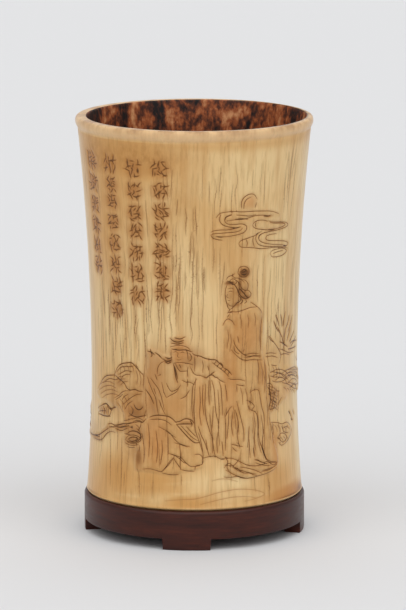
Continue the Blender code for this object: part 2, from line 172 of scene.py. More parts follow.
# Raised outlines: how far they stand out, how soft their edge is, how brown they are, and their points
OUTLINES = (
    # the standing figure's robe, then its sash, scarf and skirt
    (0.72, 0.7, 0.85, (144, 958, 200, 966, 268, 970, 294, 934, 300, 860, 296, 780, 326, 700, 320, 600,
    344, 500, 364, 410, 382, 330, 350, 294, 260, 280, 160, 286, 122, 296, 114, 360, 108, 600, 108, 790,
    110, 900)),
    (0.3, 1.2, 0.35, (122, 900, 170, 940, 270, 946, 284, 860, 256, 800, 190, 804, 140, 840)),
    # the seated figure's robe, its sleeve, its lap and its knee
    (0.68, 0.7, 0.75, (-92, 782, -40, 786, 6, 794, 50, 780, 92, 770, 126, 736, 152, 706, 166, 660, 146, 500,
    124, 374, 88, 378, 36, 364, 28, 334, -52, 314, -76, 299, -128, 306, -186, 312, -244, 312, -246, 370,
    -224, 420, -212, 460, -216, 504, -184, 532, -162, 546, -176, 584, -212, 642, -206, 696, -188, 740,
    -199, 806, -152, 798, -120, 786)),
    (0.3, 1.0, 0.2, (-206, 660, -176, 720, -120, 770, -94, 740, -70, 670, -100, 620, -114, 550, -156, 544,
    -170, 584)),
    (0.25, 1.0, 0.1, (8, 660, 60, 694, 120, 664, 120, 520, 116, 384, 44, 390, 8, 500)),
    (0.28, 1.4, 0.1, (-206, 510, -164, 534, -96, 534, -66, 504, -94, 460, -104, 380, -126, 326, -200, 324,
    -202, 420)),
    # the left rocks
    (0.5, 0.6, 0.8, (-194, 660, -220, 706, -246, 734, -270, 744, -312, 737, -344, 718, -366, 683, -330, 662,
    -288, 626, -200, 614)),
    (0.42, 0.8, 0.7, (-290, 626, -330, 668, -362, 682, -416, 670, -454, 650, -484, 618, -514, 584,
    -480, 566, -420, 564, -360, 550, -310, 534)),
    (0.58, 0.6, 0.9, (-186, 590, -214, 629, -246, 636, -288, 630, -320, 612, -360, 584, -344, 556,
    -310, 530, -308, 480, -304, 430, -294, 402, -230, 400, -214, 460, -196, 530)),
    (0.42, 0.5, 0.7, (-660, 388, -500, 390, -450, 396, -424, 424, -384, 444, -330, 448, -294, 454,
    -296, 494, -340, 484, -404, 478, -446, 448, -500, 422, -660, 408)),
    # the clouds
    (0.36, 0.5, 0.5, (106, 1316, 118, 1346, 156, 1366, 220, 1371, 284, 1362, 334, 1352, 372, 1332,
    364, 1310, 280, 1312, 216, 1296, 180, 1306, 130, 1304)),
    (0.4, 0.5, 0.5, (62, 1282, 94, 1302, 170, 1306, 208, 1302, 208, 1276, 170, 1260, 90, 1256)),
    (0.44, 0.5, 0.55, (270, 1316, 316, 1320, 380, 1306, 426, 1292, 432, 1274, 400, 1262, 320, 1256,
    286, 1274)),
    (0.3, 0.5, 0.45, (168, 1236, 200, 1254, 250, 1268, 280, 1264, 310, 1240, 360, 1230, 436, 1218,
    448, 1200, 420, 1194, 340, 1198, 240, 1199, 184, 1212)),
    (0.24, 0.5, 0.4, (304, 1174, 360, 1193, 420, 1190, 450, 1180, 446, 1168, 400, 1156, 330, 1152)),
    # the ledges on the right, from the top down, and the garden rock
    (0.46, 0.5, 0.5, (334, 730, 386, 716, 416, 692, 474, 698, 540, 686, 630, 666, 660, 630, 580, 638,
    480, 646, 400, 644, 340, 654)),
    (0.6, 0.5, 0.55, (406, 648, 480, 646, 580, 636, 660, 626, 644, 582, 580, 572, 500, 606, 436, 626)),
    (0.3, 0.6, 0.7, (316, 640, 350, 654, 386, 624, 410, 600, 460, 574, 400, 548, 330, 528)),
    (0.48, 0.6, 0.55, (334, 492, 370, 490, 410, 480, 446, 482, 484, 458, 506, 428, 474, 402, 426, 380,
    398, 390, 374, 418, 350, 454)),
)

# Leaves of the bush
LEAVES = (
    (374, 918, 388, 896, 397, 874), (408, 917, 416, 894, 419, 867), (440, 918, 433, 895, 427, 870),
    (477, 902, 469, 879, 452, 855), (511, 896, 495, 866, 471, 838), (363, 896, 375, 874, 394, 850),
    (389, 869, 401, 849, 419, 826), (448, 856, 444, 834, 439, 811), (489, 845, 477, 825, 464, 803),
    (536, 828, 514, 810, 489, 794), (574, 800, 539, 785, 504, 771), (421, 827, 429, 806, 444, 785),
    (407, 806, 434, 795, 467, 777), (500, 786, 532, 789, 596, 781), (477, 765, 514, 762, 574, 759),
)

# Lines cut deep and stained dark
DARK_LINES = (
    # hair band, collar knot and hair of the standing figure
    (189, 1121, 203, 1125, 214, 1113), (186, 1109, 200, 1103, 213, 1107), (183, 1116, 196, 1115, 209, 1117),
    (129, 1075, 147, 1072, 161, 1065, 170, 1052, 176, 1038, 185, 1022, 197, 1011, 214, 1005, 228, 1009),
    (174, 1038, 185, 1045, 196, 1034, 208, 1021, 219, 1007), (177, 1023, 188, 1010, 184, 997, 173, 991),
    (192, 1006, 197, 995, 187, 987), (133, 1081, 144, 1078, 156, 1073), (140, 954, 152, 956),
    # hat band and shoulder of the seated figure
    (-87, 809, -63, 807, -33, 808, -10, 800),
    (-6, 794, 2, 788, 24, 783, 46, 773, 70, 768, 86, 766, 102, 752, 120, 732),
    (120, 732, 136, 722, 152, 704), (106, 754, 116, 742),
    # its hat and the top of its sleeve
    (-96, 852, -82, 842, -64, 839, -42, 846), (-88, 832, -66, 831, -44, 836),
    (-78, 856, -56, 852, -38, 859), (-192, 796, -174, 792, -162, 784), (-180, 804, -172, 782, -176, 774),
    (-158, 792, -142, 782, -130, 770), (-124, 768, -106, 760, -88, 768), (-116, 776, -100, 772, -88, 778),
    (-118, 760, -104, 752, -92, 758),
    # the drape's strongest fold, the belt and the fan
    (-200, 640, -184, 620, -172, 600, -166, 586), (-82, 750, -78, 724, -72, 694, -66, 676),
    (-78, 740, -72, 716, -66, 690), (38, 700, 48, 695, 60, 704, 74, 706, 82, 698, 94, 694),
    (66, 709, 80, 718), (-76, 516, -58, 520, -36, 530, -12, 526, 0, 512), (-68, 508, -34, 510, -8, 510),
    (-16, 524, -9, 512, -10, 502),
    # the hem
    (124, 372, 134, 366), (108, 364, 122, 366), (282, 416, 292, 388, 302, 360, 310, 342),
    (248, 398, 250, 380, 251, 366), (253, 350, 268, 346, 284, 336),
    # hollows of the left rocks
    (-256, 572, -248, 560, -234, 554, -222, 559, -214, 568),
    (-280, 534, -260, 526, -242, 524, -220, 529, -200, 534), (-254, 500, -234, 506, -214, 506, -202, 518),
    (-274, 480, -262, 478), (-358, 678, -336, 666, -316, 658, -302, 648),
    (-452, 546, -424, 551, -404, 540, -390, 532, -382, 534), (-490, 499, -440, 500, -396, 505),
    (-280, 430, -267, 439, -250, 442, -233, 438, -244, 429, -263, 424, -279, 429),
    (-400, 535, -374, 543, -363, 549), (-394, 462, -380, 465, -366, 466), (-540, 404, -500, 407, -468, 410),
    (-646, 506, -636, 490, -626, 474), (-644, 450, -634, 434, -624, 424), (586, 712, 604, 700, 624, 696),
    (580, 644, 610, 632, 636, 616),
    # the knot of the branch
    (-293, 449, -263, 465, -229, 460, -223, 441, -247, 422, -287, 421),
    # edges of the left rocks, the branch and the knee
    (-362, 684, -348, 710, -326, 728, -298, 736, -270, 740, -252, 730, -232, 712, -216, 698),
    (-302, 648, -292, 634, -276, 629, -252, 634, -234, 630, -216, 629),
    (-360, 679, -386, 674, -416, 668, -442, 656, -470, 632, -500, 600),
    (-660, 398, -580, 400, -540, 403, -480, 416, -450, 430, -420, 446, -400, 458),
    (-406, 472, -386, 478, -364, 475, -340, 479, -312, 488, -284, 492, -256, 500),
    (-368, 470, -330, 471, -304, 478, -280, 484),
    (-184, 529, -166, 536, -142, 540, -118, 539, -100, 536, -84, 526, -72, 514),
    (-70, 506, -54, 488, -34, 466, -14, 446, 4, 434, 22, 436),
    # the clouds
    (117, 1329, 122, 1341, 142, 1349), (149, 1295, 164, 1295, 177, 1297), (86, 1264, 97, 1262, 109, 1261),
    (172, 1331, 186, 1330, 197, 1329), (284, 1332, 301, 1330, 316, 1331), (308, 1275, 325, 1272, 342, 1273),
    (264, 1247, 267, 1255, 277, 1261), (407, 1197, 420, 1194, 432, 1194), (252, 1260, 261, 1266),
    (335, 682, 341, 651, 335, 621, 341, 580, 327, 541), (494, 605, 543, 612, 588, 577),
    (488, 510, 503, 491, 512, 469), (530, 507, 543, 489),
    # marks on the tassel and beside the garden rock
    (330, 632, 339, 622), (330, 606, 342, 602), (354, 610, 364, 604), (360, 572, 370, 566),
    (482, 512, 492, 498), (504, 476, 526, 468), (380, 422, 389, 414),
)

# Lines of ordinary weight
LINES = (
    # the standing figure: bun, head, collar, cuff
    (175, 1114, 181, 1132, 199, 1138, 218, 1129, 224, 1112, 214, 1098, 195, 1094, 179, 1104, 175, 1114),
    (129, 1089, 136, 1099, 152, 1104, 162, 1109), (152, 1104, 162, 1093, 175, 1092, 189, 1085, 201, 1074),
    (142, 1084, 152, 1090, 165, 1085, 167, 1072, 154, 1067, 144, 1074, 142, 1084),
    (189, 1085, 206, 1081, 218, 1068, 220, 1052, 213, 1040, 198, 1044, 187, 1057, 184, 1073, 189, 1085),
    (207, 1041, 224, 1037, 235, 1024, 231, 1012, 217, 1012, 205, 1023, 207, 1041),
    (171, 1082, 182, 1067, 180, 1051, 192, 1040), (173, 991, 164, 982, 154, 972, 143, 965),
    (208, 1002, 215, 994, 206, 988), (167, 1084, 176, 1074, 174, 1058), (181, 1007, 177, 997, 166, 988),
    (130, 1067, 124, 1047, 123, 1027, 126, 1006, 131, 991, 135, 977, 143, 965, 135, 953),
    (142, 960, 170, 956, 200, 961, 232, 968, 264, 968), (236, 989, 264, 970, 282, 952, 294, 934),
    (115, 908, 122, 922, 134, 930, 150, 922, 162, 904), (142, 950, 132, 936),
    # its sleeve and sash
    (158, 844, 166, 822, 180, 802, 200, 784, 224, 772, 250, 770, 282, 762), (176, 856, 180, 842, 182, 830),
    (162, 834, 164, 824), (152, 802, 170, 782, 192, 764, 216, 756, 244, 756, 288, 750),
    (206, 780, 220, 781, 244, 782, 274, 777), (208, 769, 230, 768, 260, 772, 286, 766),
    (202, 792, 206, 800), (138, 690, 154, 684, 184, 682, 206, 675), (174, 662, 186, 658, 208, 654),
    (174, 660, 175, 634), (269, 754, 276, 720, 274, 686, 273, 658),
    # its scarf and skirt
    (234, 624, 246, 631, 262, 633, 276, 628, 282, 608, 287, 584, 292, 558, 301, 532, 304, 500, 302, 450,
    303, 406, 302, 382), (174, 594, 183, 558, 192, 524, 200, 492, 204, 460, 203, 430),
    (228, 570, 236, 554, 252, 547, 264, 536, 270, 516, 271, 484, 269, 448), (224, 592, 234, 586, 238, 574),
    (240, 592, 230, 584), (129, 570, 128, 542), (139, 558, 138, 520, 135, 486, 131, 450),
    (228, 484, 226, 456, 223, 428, 219, 404), (228, 436, 229, 400, 230, 362),
    (272, 464, 276, 430, 279, 406), (339, 484, 348, 446, 352, 404),
    (353, 482, 360, 430, 372, 376, 382, 334), (123, 371, 133, 355, 130, 330, 140, 314),
    (122, 341, 154, 336, 170, 347, 181, 361), (127, 320, 153, 303, 179, 291, 206, 282),
    (153, 330, 185, 316, 224, 302, 253, 293), (186, 328, 219, 320, 253, 308, 283, 292),
    (255, 338, 282, 327, 311, 319, 332, 318), (268, 347, 292, 334, 319, 335, 346, 317, 370, 322),
    (284, 299, 317, 300, 346, 307, 369, 317), (122, 552, 126, 481, 123, 401),
    (157, 550, 151, 500, 156, 459), (167, 559, 180, 507, 175, 457, 185, 406),
    (250, 541, 257, 490, 253, 440, 257, 389), (270, 544, 274, 487, 270, 427, 284, 375),
    (288, 526, 297, 464, 292, 404, 309, 351, 332, 323), (218, 595, 242, 582, 254, 566, 242, 552, 260, 545),
    (224, 574, 230, 553), (166, 822, 177, 806, 194, 789, 211, 776), (161, 817, 166, 797, 183, 785),
    (291, 931, 284, 891, 280, 841, 286, 790), (304, 757, 313, 685, 320, 623),
    (63, 544, 69, 484, 76, 413, 84, 373), (95, 644, 100, 563, 97, 483, 101, 422),
    (35, 666, 33, 606, 39, 545),
    # its hem
    (132, 368, 150, 366, 170, 358, 190, 347, 212, 335, 236, 328, 266, 325, 300, 328, 330, 329, 356, 324,
    380, 325), (262, 348, 282, 339, 310, 326), (310, 346, 336, 332, 364, 328),
    (119, 330, 130, 344, 142, 346, 158, 332, 176, 322, 190, 308, 206, 302, 224, 300, 242, 292, 260, 285),
    (152, 332, 174, 316, 194, 306),
    (120, 292, 146, 289, 170, 292, 200, 281, 232, 279, 270, 284, 310, 288, 344, 296, 370, 304),
    (290, 303, 314, 304, 340, 308), (150, 422, 164, 419, 178, 414, 198, 409),
    (154, 410, 162, 400, 170, 394), (176, 426, 184, 418),
    # the seated figure: hat band, collar, ear
    (-96, 818, -76, 824, -50, 826, -26, 818, -16, 808), (-92, 802, -93, 786, -88, 770),
    (-82, 754, -62, 758, -40, 757, -16, 752, -4, 748), (-20, 794, -12, 786, -12, 770, -19, 764),
    (-32, 810, -26, 794, -24, 772),
    # its beard and sleeves
    (-74, 752, -66, 734, -56, 722, -42, 722, -28, 724), (-58, 750, -52, 734),
    (-25, 738, -27, 718, -25, 700), (-48, 686, -34, 679, -16, 678, 0, 668), (-26, 690, -26, 662),
    (-149, 710, -148, 728, -138, 748, -124, 758), (-134, 706, -144, 700),
    (-112, 672, -102, 652, -92, 640, -76, 644, -62, 654, -54, 666),
    (-109, 614, -94, 624, -76, 634, -62, 648), (-20, 644, -34, 622, -54, 610),
    # its drape
    (-192, 692, -184, 668, -170, 636, -157, 610, -152, 580, -147, 550),
    (-178, 688, -162, 668, -146, 648, -134, 620, -126, 590, -120, 564), (-158, 704, -150, 682),
    (-164, 648, -156, 624), (-142, 602, -128, 568, -116, 544), (-130, 670, -122, 636, -112, 614),
    # its belt and robe
    (-14, 738, -6, 720, 6, 708, 24, 705, 40, 699), (90, 696, 104, 684, 122, 674), (2, 778, 3, 754, 2, 724),
    (32, 764, 36, 746, 34, 722), (54, 744, 58, 726),
    (6, 694, 3, 650, 2, 610, -1, 566, 2, 520, 6, 480, 20, 438, 32, 400),
    (70, 684, 78, 656, 82, 620, 84, 584, 88, 548, 96, 516, 99, 490),
    (99, 682, 107, 654, 110, 618, 112, 582, 113, 546),
    (45, 670, 44, 620, 43, 576, 49, 526, 58, 492, 66, 468, 76, 448), (59, 684, 58, 640, 60, 590),
    (124, 666, 130, 630, 132, 600), (110, 436, 113, 410, 114, 382), (46, 446, 50, 418, 54, 398, 59, 380),
    (16, 500, 28, 464, 42, 434, 50, 406), (34, 372, 56, 377, 80, 379, 94, 372, 108, 364),
    # its knee, the bands below the fan, the shoe
    (-52, 502, -30, 478, -8, 456, 14, 442), (-32, 500, -12, 478, 8, 458),
    (-142, 494, -120, 484, -100, 474, -82, 452, -66, 436, -46, 426, -18, 418),
    (-112, 478, -96, 468, -74, 454), (-105, 462, -104, 424, -102, 386),
    (-206, 318, -180, 322, -154, 318, -130, 314, -116, 328, -104, 346, -92, 362, -80, 374),
    (-92, 386, -74, 380, -56, 368, -42, 356, -28, 350), (-124, 308, -94, 304, -64, 305),
    (-58, 426, -54, 392, -55, 358, -54, 326),
    (3, 386, 18, 388, 30, 380, 34, 364, 32, 348, 18, 344, 5, 340, 3, 326), (-52, 326, -24, 320, 0, 319),
    (-218, 460, -208, 424, -204, 380, -206, 346), (-226, 410, -228, 384), (-78, 433, -52, 426, -27, 417),
    (-98, 389, -77, 383, -52, 374, -32, 354, -12, 339, 22, 342), (-82, 370, -102, 342, -127, 315),
    (-80, 368, -62, 343, -52, 329), (-178, 520, -146, 524, -116, 520, -90, 504),
    (-188, 502, -182, 440, -184, 370), (-154, 476, -146, 410, -150, 350), (-129, 440, -127, 396, -134, 344),
    # border of its shoulder
    (72, 756, 90, 742, 108, 728, 126, 712, 138, 698), (88, 762, 80, 750), (102, 752, 92, 740),
    (116, 740, 106, 728), (130, 728, 120, 716), (142, 716, 134, 702),
    # its main fold and skirt
    (10, 692, -5, 661, -9, 616, -9, 576, -5, 535), (17, 475, 27, 435, 35, 384, 32, 349),
    (22, 660, 24, 600, 22, 546, 28, 504), (125, 537, 138, 561, 151, 575), (76, 580, 74, 530, 72, 494),
    (94, 474, 90, 436, 92, 394), (69, 464, 74, 424, 72, 392),
    # the left rocks
    (-348, 694, -326, 714, -300, 721, -270, 725, -256, 730), (-338, 684, -316, 696, -296, 705, -266, 705),
    (-326, 666, -312, 682, -294, 690, -276, 692), (-340, 665, -364, 659, -390, 660, -416, 651, -444, 634),
    (-362, 586, -336, 600, -320, 614, -302, 622, -274, 626), (-354, 580, -330, 594, -314, 608),
    (-308, 568, -288, 586, -266, 602, -242, 615, -218, 620), (-302, 548, -286, 570, -264, 586),
    (-316, 586, -304, 600, -286, 610), (-486, 510, -456, 518, -424, 523), (-386, 536, -372, 544, -358, 547),
    (-310, 500, -288, 506, -262, 516), (-236, 466, -224, 488, -222, 502),
    # the branch and the knot in it
    (-364, 466, -342, 460, -320, 459, -302, 466, -286, 474),
    (-520, 393, -470, 396, -444, 406, -420, 428, -390, 444, -360, 446),
    (-295, 428, -281, 443, -257, 450, -233, 447, -220, 437, -230, 424, -254, 416, -278, 417, -293, 427),
    (-297, 414, -281, 408, -256, 408, -232, 414), (-302, 450, -285, 449, -270, 452),
    (-287, 398, -268, 397, -249, 401), (-265, 511, -247, 519, -228, 520, -210, 512),
    (-261, 501, -244, 510, -227, 511, -214, 504), (-294, 487, -276, 496, -260, 498),
    (-270, 478, -263, 484, -265, 473), (-272, 564, -260, 550, -268, 529, -283, 522),
    (-492, 524, -455, 541, -424, 550, -401, 544, -389, 534, -392, 517, -408, 503, -443, 500, -480, 504),
    (-444, 538, -428, 525, -433, 506), (-418, 545, -405, 531, -408, 506), (-200, 556, -208, 525),
    # the moon and the clouds
    (184, 1372, 182, 1396, 192, 1416, 214, 1427, 234, 1424, 248, 1406),
    (192, 1370, 194, 1392, 204, 1408, 220, 1414), (242, 1372, 246, 1386),
    (84, 1340, 96, 1355, 115, 1360, 149, 1362, 190, 1358, 233, 1357, 274, 1354, 320, 1348, 360, 1334),
    (101, 1350, 96, 1335, 101, 1319, 115, 1307, 137, 1300, 161, 1296, 177, 1297), (143, 1350, 125, 1343,
    116, 1330, 120, 1320, 131, 1312, 156, 1309, 182, 1310, 199, 1305, 207, 1295, 203, 1281, 188, 1272,
    162, 1266, 127, 1262, 92, 1263), (65, 1283, 77, 1288, 102, 1290, 126, 1289, 149, 1292, 176, 1297),
    (64, 1271, 78, 1276, 107, 1277, 136, 1278, 162, 1279, 180, 1284, 187, 1291),
    (64, 1269, 72, 1258, 88, 1252, 108, 1248),
    (130, 1326, 155, 1328, 191, 1328, 218, 1333, 246, 1338, 275, 1337, 313, 1330),
    (156, 1331, 191, 1330, 210, 1326), (165, 1347, 191, 1343, 218, 1339, 245, 1342),
    (233, 1301, 239, 1311, 253, 1317, 277, 1317, 302, 1310),
    (233, 1300, 240, 1291, 255, 1284, 282, 1278, 310, 1274, 340, 1273), (249, 1314, 245, 1303, 251, 1291),
    (307, 1311, 322, 1305, 349, 1301, 382, 1297, 413, 1290, 425, 1280, 415, 1273, 390, 1270, 352, 1267,
    310, 1266, 279, 1261, 265, 1251, 266, 1238, 279, 1228, 304, 1219, 342, 1211, 388, 1204, 429, 1193),
    (314, 1303, 346, 1296, 383, 1292, 405, 1285, 395, 1278, 372, 1275, 340, 1273), (429, 1193, 436, 1201,
    422, 1212, 378, 1221, 333, 1227, 305, 1233, 298, 1242, 305, 1250, 326, 1253, 353, 1253),
    (176, 1233, 184, 1242, 201, 1247, 222, 1252, 244, 1257, 257, 1264, 274, 1270), (176, 1232, 179, 1221,
    191, 1215, 213, 1212, 243, 1208, 271, 1202, 306, 1200, 347, 1198, 393, 1192, 433, 1184),
    (256, 1263, 250, 1251, 252, 1236, 264, 1220, 290, 1210, 331, 1204, 380, 1199, 424, 1191),
    (206, 1246, 212, 1231, 210, 1217), (238, 1253, 237, 1235, 244, 1212), (327, 1179, 338, 1187, 367, 1189,
    400, 1188, 428, 1176, 421, 1166, 397, 1159, 365, 1158, 338, 1161, 328, 1171),
    (344, 1174, 374, 1178, 401, 1178),
    # stems, ledges, tassel and garden rock on the right
    (338, 839, 366, 810, 395, 780, 414, 752, 406, 722), (395, 780, 433, 769, 478, 751, 539, 745),
    (366, 810, 345, 823, 332, 840), (427, 770, 438, 789, 445, 813), (414, 752, 444, 752, 486, 742),
    (318, 771, 347, 770, 378, 763), (318, 758, 355, 756, 387, 746),
    (341, 691, 380, 698, 426, 689, 457, 673, 495, 646), (356, 674, 398, 681, 436, 667, 469, 641),
    (372, 656, 407, 663, 436, 651, 457, 627), (469, 681, 509, 684, 566, 676, 604, 656),
    (446, 667, 495, 671, 566, 658, 614, 634), (436, 651, 481, 659, 543, 647, 614, 619),
    (457, 627, 509, 638, 566, 625, 604, 600), (349, 634, 341, 590, 360, 557),
    (369, 616, 356, 577, 341, 539), (389, 593, 372, 565, 350, 533), (416, 578, 389, 552),
    (340, 489, 387, 481, 413, 472, 453, 472, 483, 454, 492, 432, 472, 410, 437, 391, 408, 386, 391, 399),
    (384, 426, 402, 436, 430, 428, 443, 411, 418, 397, 397, 409, 384, 426), (453, 460, 441, 447),
    (413, 467, 418, 454), (357, 476, 346, 457), (412, 455, 424, 438, 453, 429),
    (346, 722, 366, 716, 382, 714), (342, 694, 366, 690, 394, 682, 416, 672, 442, 656, 464, 648),
    (340, 678, 364, 670, 390, 666, 418, 658), (420, 678, 446, 682, 474, 684, 510, 678, 550, 670, 610, 659),
    (440, 666, 472, 669, 506, 664, 550, 654, 600, 646), (470, 656, 510, 654, 560, 642),
    (352, 657, 372, 649, 408, 644, 444, 648, 480, 650), (418, 639, 456, 628, 496, 613, 536, 595, 580, 586),
    (466, 634, 510, 620, 560, 606, 620, 600), (322, 648, 344, 646, 358, 628), (376, 612, 404, 606),
    (326, 546, 352, 542, 380, 546), (420, 454, 446, 456, 466, 444),
)

# Strokes side by side: the first one's points, the step to the next in mm, and how many
ROWS_OF_STROKES = (
    ((-486, 616, -446, 636, -402, 646, -364, 642), (1.1, -1.5), 4),
    ((-354, 660, -334, 676, -314, 680), (1.3, -0.9), 3), ((-318, 726, -306, 714, -304, 700), (2.3, 0.3), 4),
    ((-246, 714, -238, 684, -242, 656), (1.5, -0.5), 3), ((-344, 570, -326, 556, -316, 536), (1.5, 1.7), 3),
    ((-248, 494, -234, 486, -226, 472), (0.5, -1.6), 3), ((-476, 534, -468, 522, -470, 508), (1.8, 0.2), 4),
    ((332, 640, 354, 630, 384, 614), (0.1, -1.35), 7), ((338, 644, 339, 594, 336, 546), (1.45, -0.5), 5),
    ((354, 716, 364, 696, 360, 670), (1.9, -0.5), 3), ((436, 616, 454, 608, 464, 596), (2.9, -0.8), 4),
    ((364, 476, 376, 462, 378, 446), (2.0, -0.5), 4), ((396, 422, 410, 410, 416, 398), (2.0, -0.1), 3),
    ((186, 938, 192, 914, 190, 888), (3.2, 0.3), 3), ((134, 886, 138, 854, 132, 816), (1.1, -1.8), 2),
    ((190, 648, 198, 618, 200, 584), (2.2, -0.6), 3), ((286, 740, 296, 696, 294, 650), (1.2, -3.2), 3),
    ((316, 600, 322, 544, 320, 484), (1.3, -6.0), 2), ((246, 524, 248, 492, 244, 458), (0.2, -8.0), 2),
    ((158, 576, 166, 534, 168, 486), (1.4, -2.6), 2),
)

# Faces, small and calm: eye, brow, nose, mouth and cheek
FACE_LINES = (
    (136, 1039, 144, 1042, 152, 1038), (134, 1051, 146, 1054, 156, 1050), (132, 1030, 129, 1019, 135, 1015),
    (135, 1004, 142, 1003), (134, 992, 144, 982, 160, 980), (-80, 798, -73, 801, -66, 798),
    (-53, 797, -46, 800, -39, 797), (-81, 808, -73, 811, -65, 808), (-64, 792, -66, 782, -59, 779),
    (-68, 769, -60, 768, -52, 770),
)

# The longest age cracks, from top to bottom, and how strong each is
LONG_CRACKS = (
    ((32, 1560, 30, 1460, 29, 1400), 0.5), ((34, 1230, 31, 1120, 36, 1010, 32, 920, 34, 840), 0.8),
    ((-4, 1240, -3, 1120, -10, 1020, -16, 920, -14, 860), 0.8),
    ((-52, 1200, -56, 1040, -64, 940, -62, 880), 0.8),
    ((-78, 1320, -86, 1180, -84, 1060, -96, 960, -94, 880), 0.8),
    ((-123, 1220, -120, 1120, -123, 980, -118, 880), 0.9),
    ((-174, 1120, -170, 1030, -178, 940, -170, 860), 0.8), ((-188, 980, -186, 900, -198, 840), 0.6),
    ((92, 960, 89, 880, 92, 800, 91, 720), 0.8), ((120, 760, 119, 860), 0.4),
    ((68, 1400, 72, 1260, 76, 1120), 0.5), ((103, 1200, 100, 1080, 106, 980), 0.5),
    ((320, 980, 325, 880, 323, 790, 334, 710, 329, 660), 0.9), ((334, 1120, 330, 1040, 320, 980), 0.5),
    ((434, 1640, 426, 1540, 420, 1420, 418, 1300), 0.8), ((416, 1160, 412, 1060, 418, 970), 0.5),
    ((364, 1160, 368, 1060, 364, 960), 0.6), ((226, 1530, 224, 1440), 0.6),
    ((277, 1520, 281, 1420, 280, 1370), 0.6), ((297, 1180, 293, 1120, 289, 1060), 0.6),
    ((-51, 310, -50, 256), 0.7), ((250, 280, 252, 226), 0.7), ((-226, 300, -225, 230), 0.6),
    ((-449, 920, -446, 760, -445, 680), 0.9), ((-376, 900, -368, 680, -367, 576), 0.9),
    ((-301, 960, -297, 840, -297, 752), 0.9), ((-268, 840, -273, 705, -277, 629), 0.6),
    ((-233, 860, -233, 745), 0.7), ((-208, 900, -202, 780, -200, 710), 1.0), ((-117, 900, -115, 783), 0.9),
    ((-399, 500, -387, 380, -376, 220), 0.9), ((-319, 436, -316, 330, -314, 190), 0.9),
    ((-229, 310, -223, 200), 0.8), ((-109, 532, -104, 442, -104, 337), 0.8), ((-313, 594, -310, 492), 0.7),
    ((-530, 840, -526, 660), 0.6), ((-152, 610, -143, 535), 0.6), ((-86, 1600, -82, 1460, -90, 1380), 0.5),
)

# Zones of small cracks: left, right, high, low, how many, length
CRACK_ZONES = (
    (-50, -18, 104, 76, 26, 17), (-20, 2, 136, 88, 20, 24), (-46, -18, 124, 86, 9, 20),
    (2, 32, 128, 98, 12, 20), (24, 50, 160, 140, 7, 20), (28, 56, 116, 76, 20, 18),
    (-50, 2, 76, 34, 18, 17), (2, 40, 96, 30, 14, 19), (-60, 60, 44, 22, 14, 9),
    (-60, 20, 160, 136, 16, 18), (64, 131, 160, 30, 36, 30), (-131, -56, 160, 30, 40, 30),
    (-9, 4, 144, 96, 18, 13), (-44, -14, 150, 104, 12, 15),
)

# Soft patches of the ivory's tones, and of a painted sheen on the wall's sides: across, up, half width, half
# height, strength
# The tall bands about 60 mm either side of the front, where the wall turns away from the camera, are a
# painted sheen; the other pale patches are paler ivory.
PALE_PATCHES_AND_PAINTED_SHEEN = (
    (-24, 121, 10, 19, 1), (-16, 140, 8, 8, 0.8), (32, 87, 5, 7, 1), (24, 46, 4, 6, 0.8), (16, 29, 8, 6, 1),
    (58, 60, 9, 50, 1), (47, 100, 7, 12, 0.9), (-26, 92, 30, 24, 0.9), (-2, 108, 15, 32, 0.75),
    (24, 154, 34, 20, 0.75), (42, 112, 20, 40, 0.85), (58, 90, 12, 70, 0.8), (62, 78, 8, 60, 1),
    (52, 105, 6, 12, 0.8), (55, 148, 12, 18, 0.9), (-60, 90, 9, 80, 0.7), (-62, 150, 8, 30, 0.9),
    (-66, 30, 8, 20, 0.7), (-48, 44, 16, 14, 0.6), (48, 50, 12, 14, 0.5), (6, 27, 10, 4.5, 0.6),
    (-15, 20.5, 6, 3, 0.5), (14, 21.5, 5, 2.5, 0.4),
)
HONEY_PATCHES = (
    (-30, 156, 30, 10, 0.95), (-34, 140, 24, 34, 0.6), (-34, 28, 12, 9, 0.9), (-18, 27, 12, 6, 0.8),
    (-4, 19, 9, 3, 0.5), (38, 25, 12, 7, 0.7), (44, 19, 16, 4, 1), (-2, 18.6, 10, 3.4, 0.9),
    (5, 126, 9, 14, 0.35), (-56, 30, 8, 12, 0.3),
)
TAN_PATCHES = (
    (-42, 157, 15, 8, 0.75), (-20, 157.5, 16, 6.5, 0.7), (-52, 145, 6, 12, 0.4), (-4, 140, 7, 10, 0.3),
    (17.6, 103.6, 6, 8.6, 0.8), (-6, 80, 5, 6, 0.8), (40, 76, 7, 9, 0.45), (-12, 78, 5, 3.6, 0.4),
    (24, 127, 16, 8, 0.2), (-25, 56, 7, 12, 0.55), (-28, 42, 6, 9, 0.5), (49, 18.6, 8, 3, 0.5),
    (-36, 104, 5, 12, 0.3),
)
WARM_PATCHES = (
    (21.6, 139.3, 2.6, 2.6, 0.8), (18, 117, 10, 4, 0.2), (-48, 20, 8, 5, 0.35), (46, 18.6, 15, 3.4, 0.8),
    (-17, 70, 5, 12, 0.6), (20.5, 86, 7.6, 9.5, 0.7), (14.6, 68, 3.4, 16, 0.7), (36.2, 38, 2.4, 8, 0.8),
    (30, 70, 2.6, 8, 0.4), (-15.6, 43.6, 5.4, 9.6, 0.8), (-17.6, 62, 3, 9, 0.6), (2.2, 60, 2.2, 9, 0.7),
    (-5.6, 79.6, 4.2, 6, 0.8), (-8.4, 58, 5, 5, 0.5), (-27, 54, 5, 6, 0.5), (46, 60, 6, 3, 0.4),
)

# Lighter growth lines near the foot
PALE_LINES = (
    (-340, 200, -160, 212, 0, 233, 40, 242, 110, 230, 200, 210, 340, 204),
    (-240, 254, -80, 266, 20, 280, 140, 262),
)

# Faint growth lines near the foot
FAINT_LINES = (
    (-115, 197, -56, 204, 2, 208, 53, 220, 100, 232, 174, 239, 250, 228, 298, 206, 253, 194, 203, 188),
    (24, 186, 86, 200, 150, 209, 216, 206, 254, 196), (69, 279, 101, 285, 133, 283, 175, 270),
)

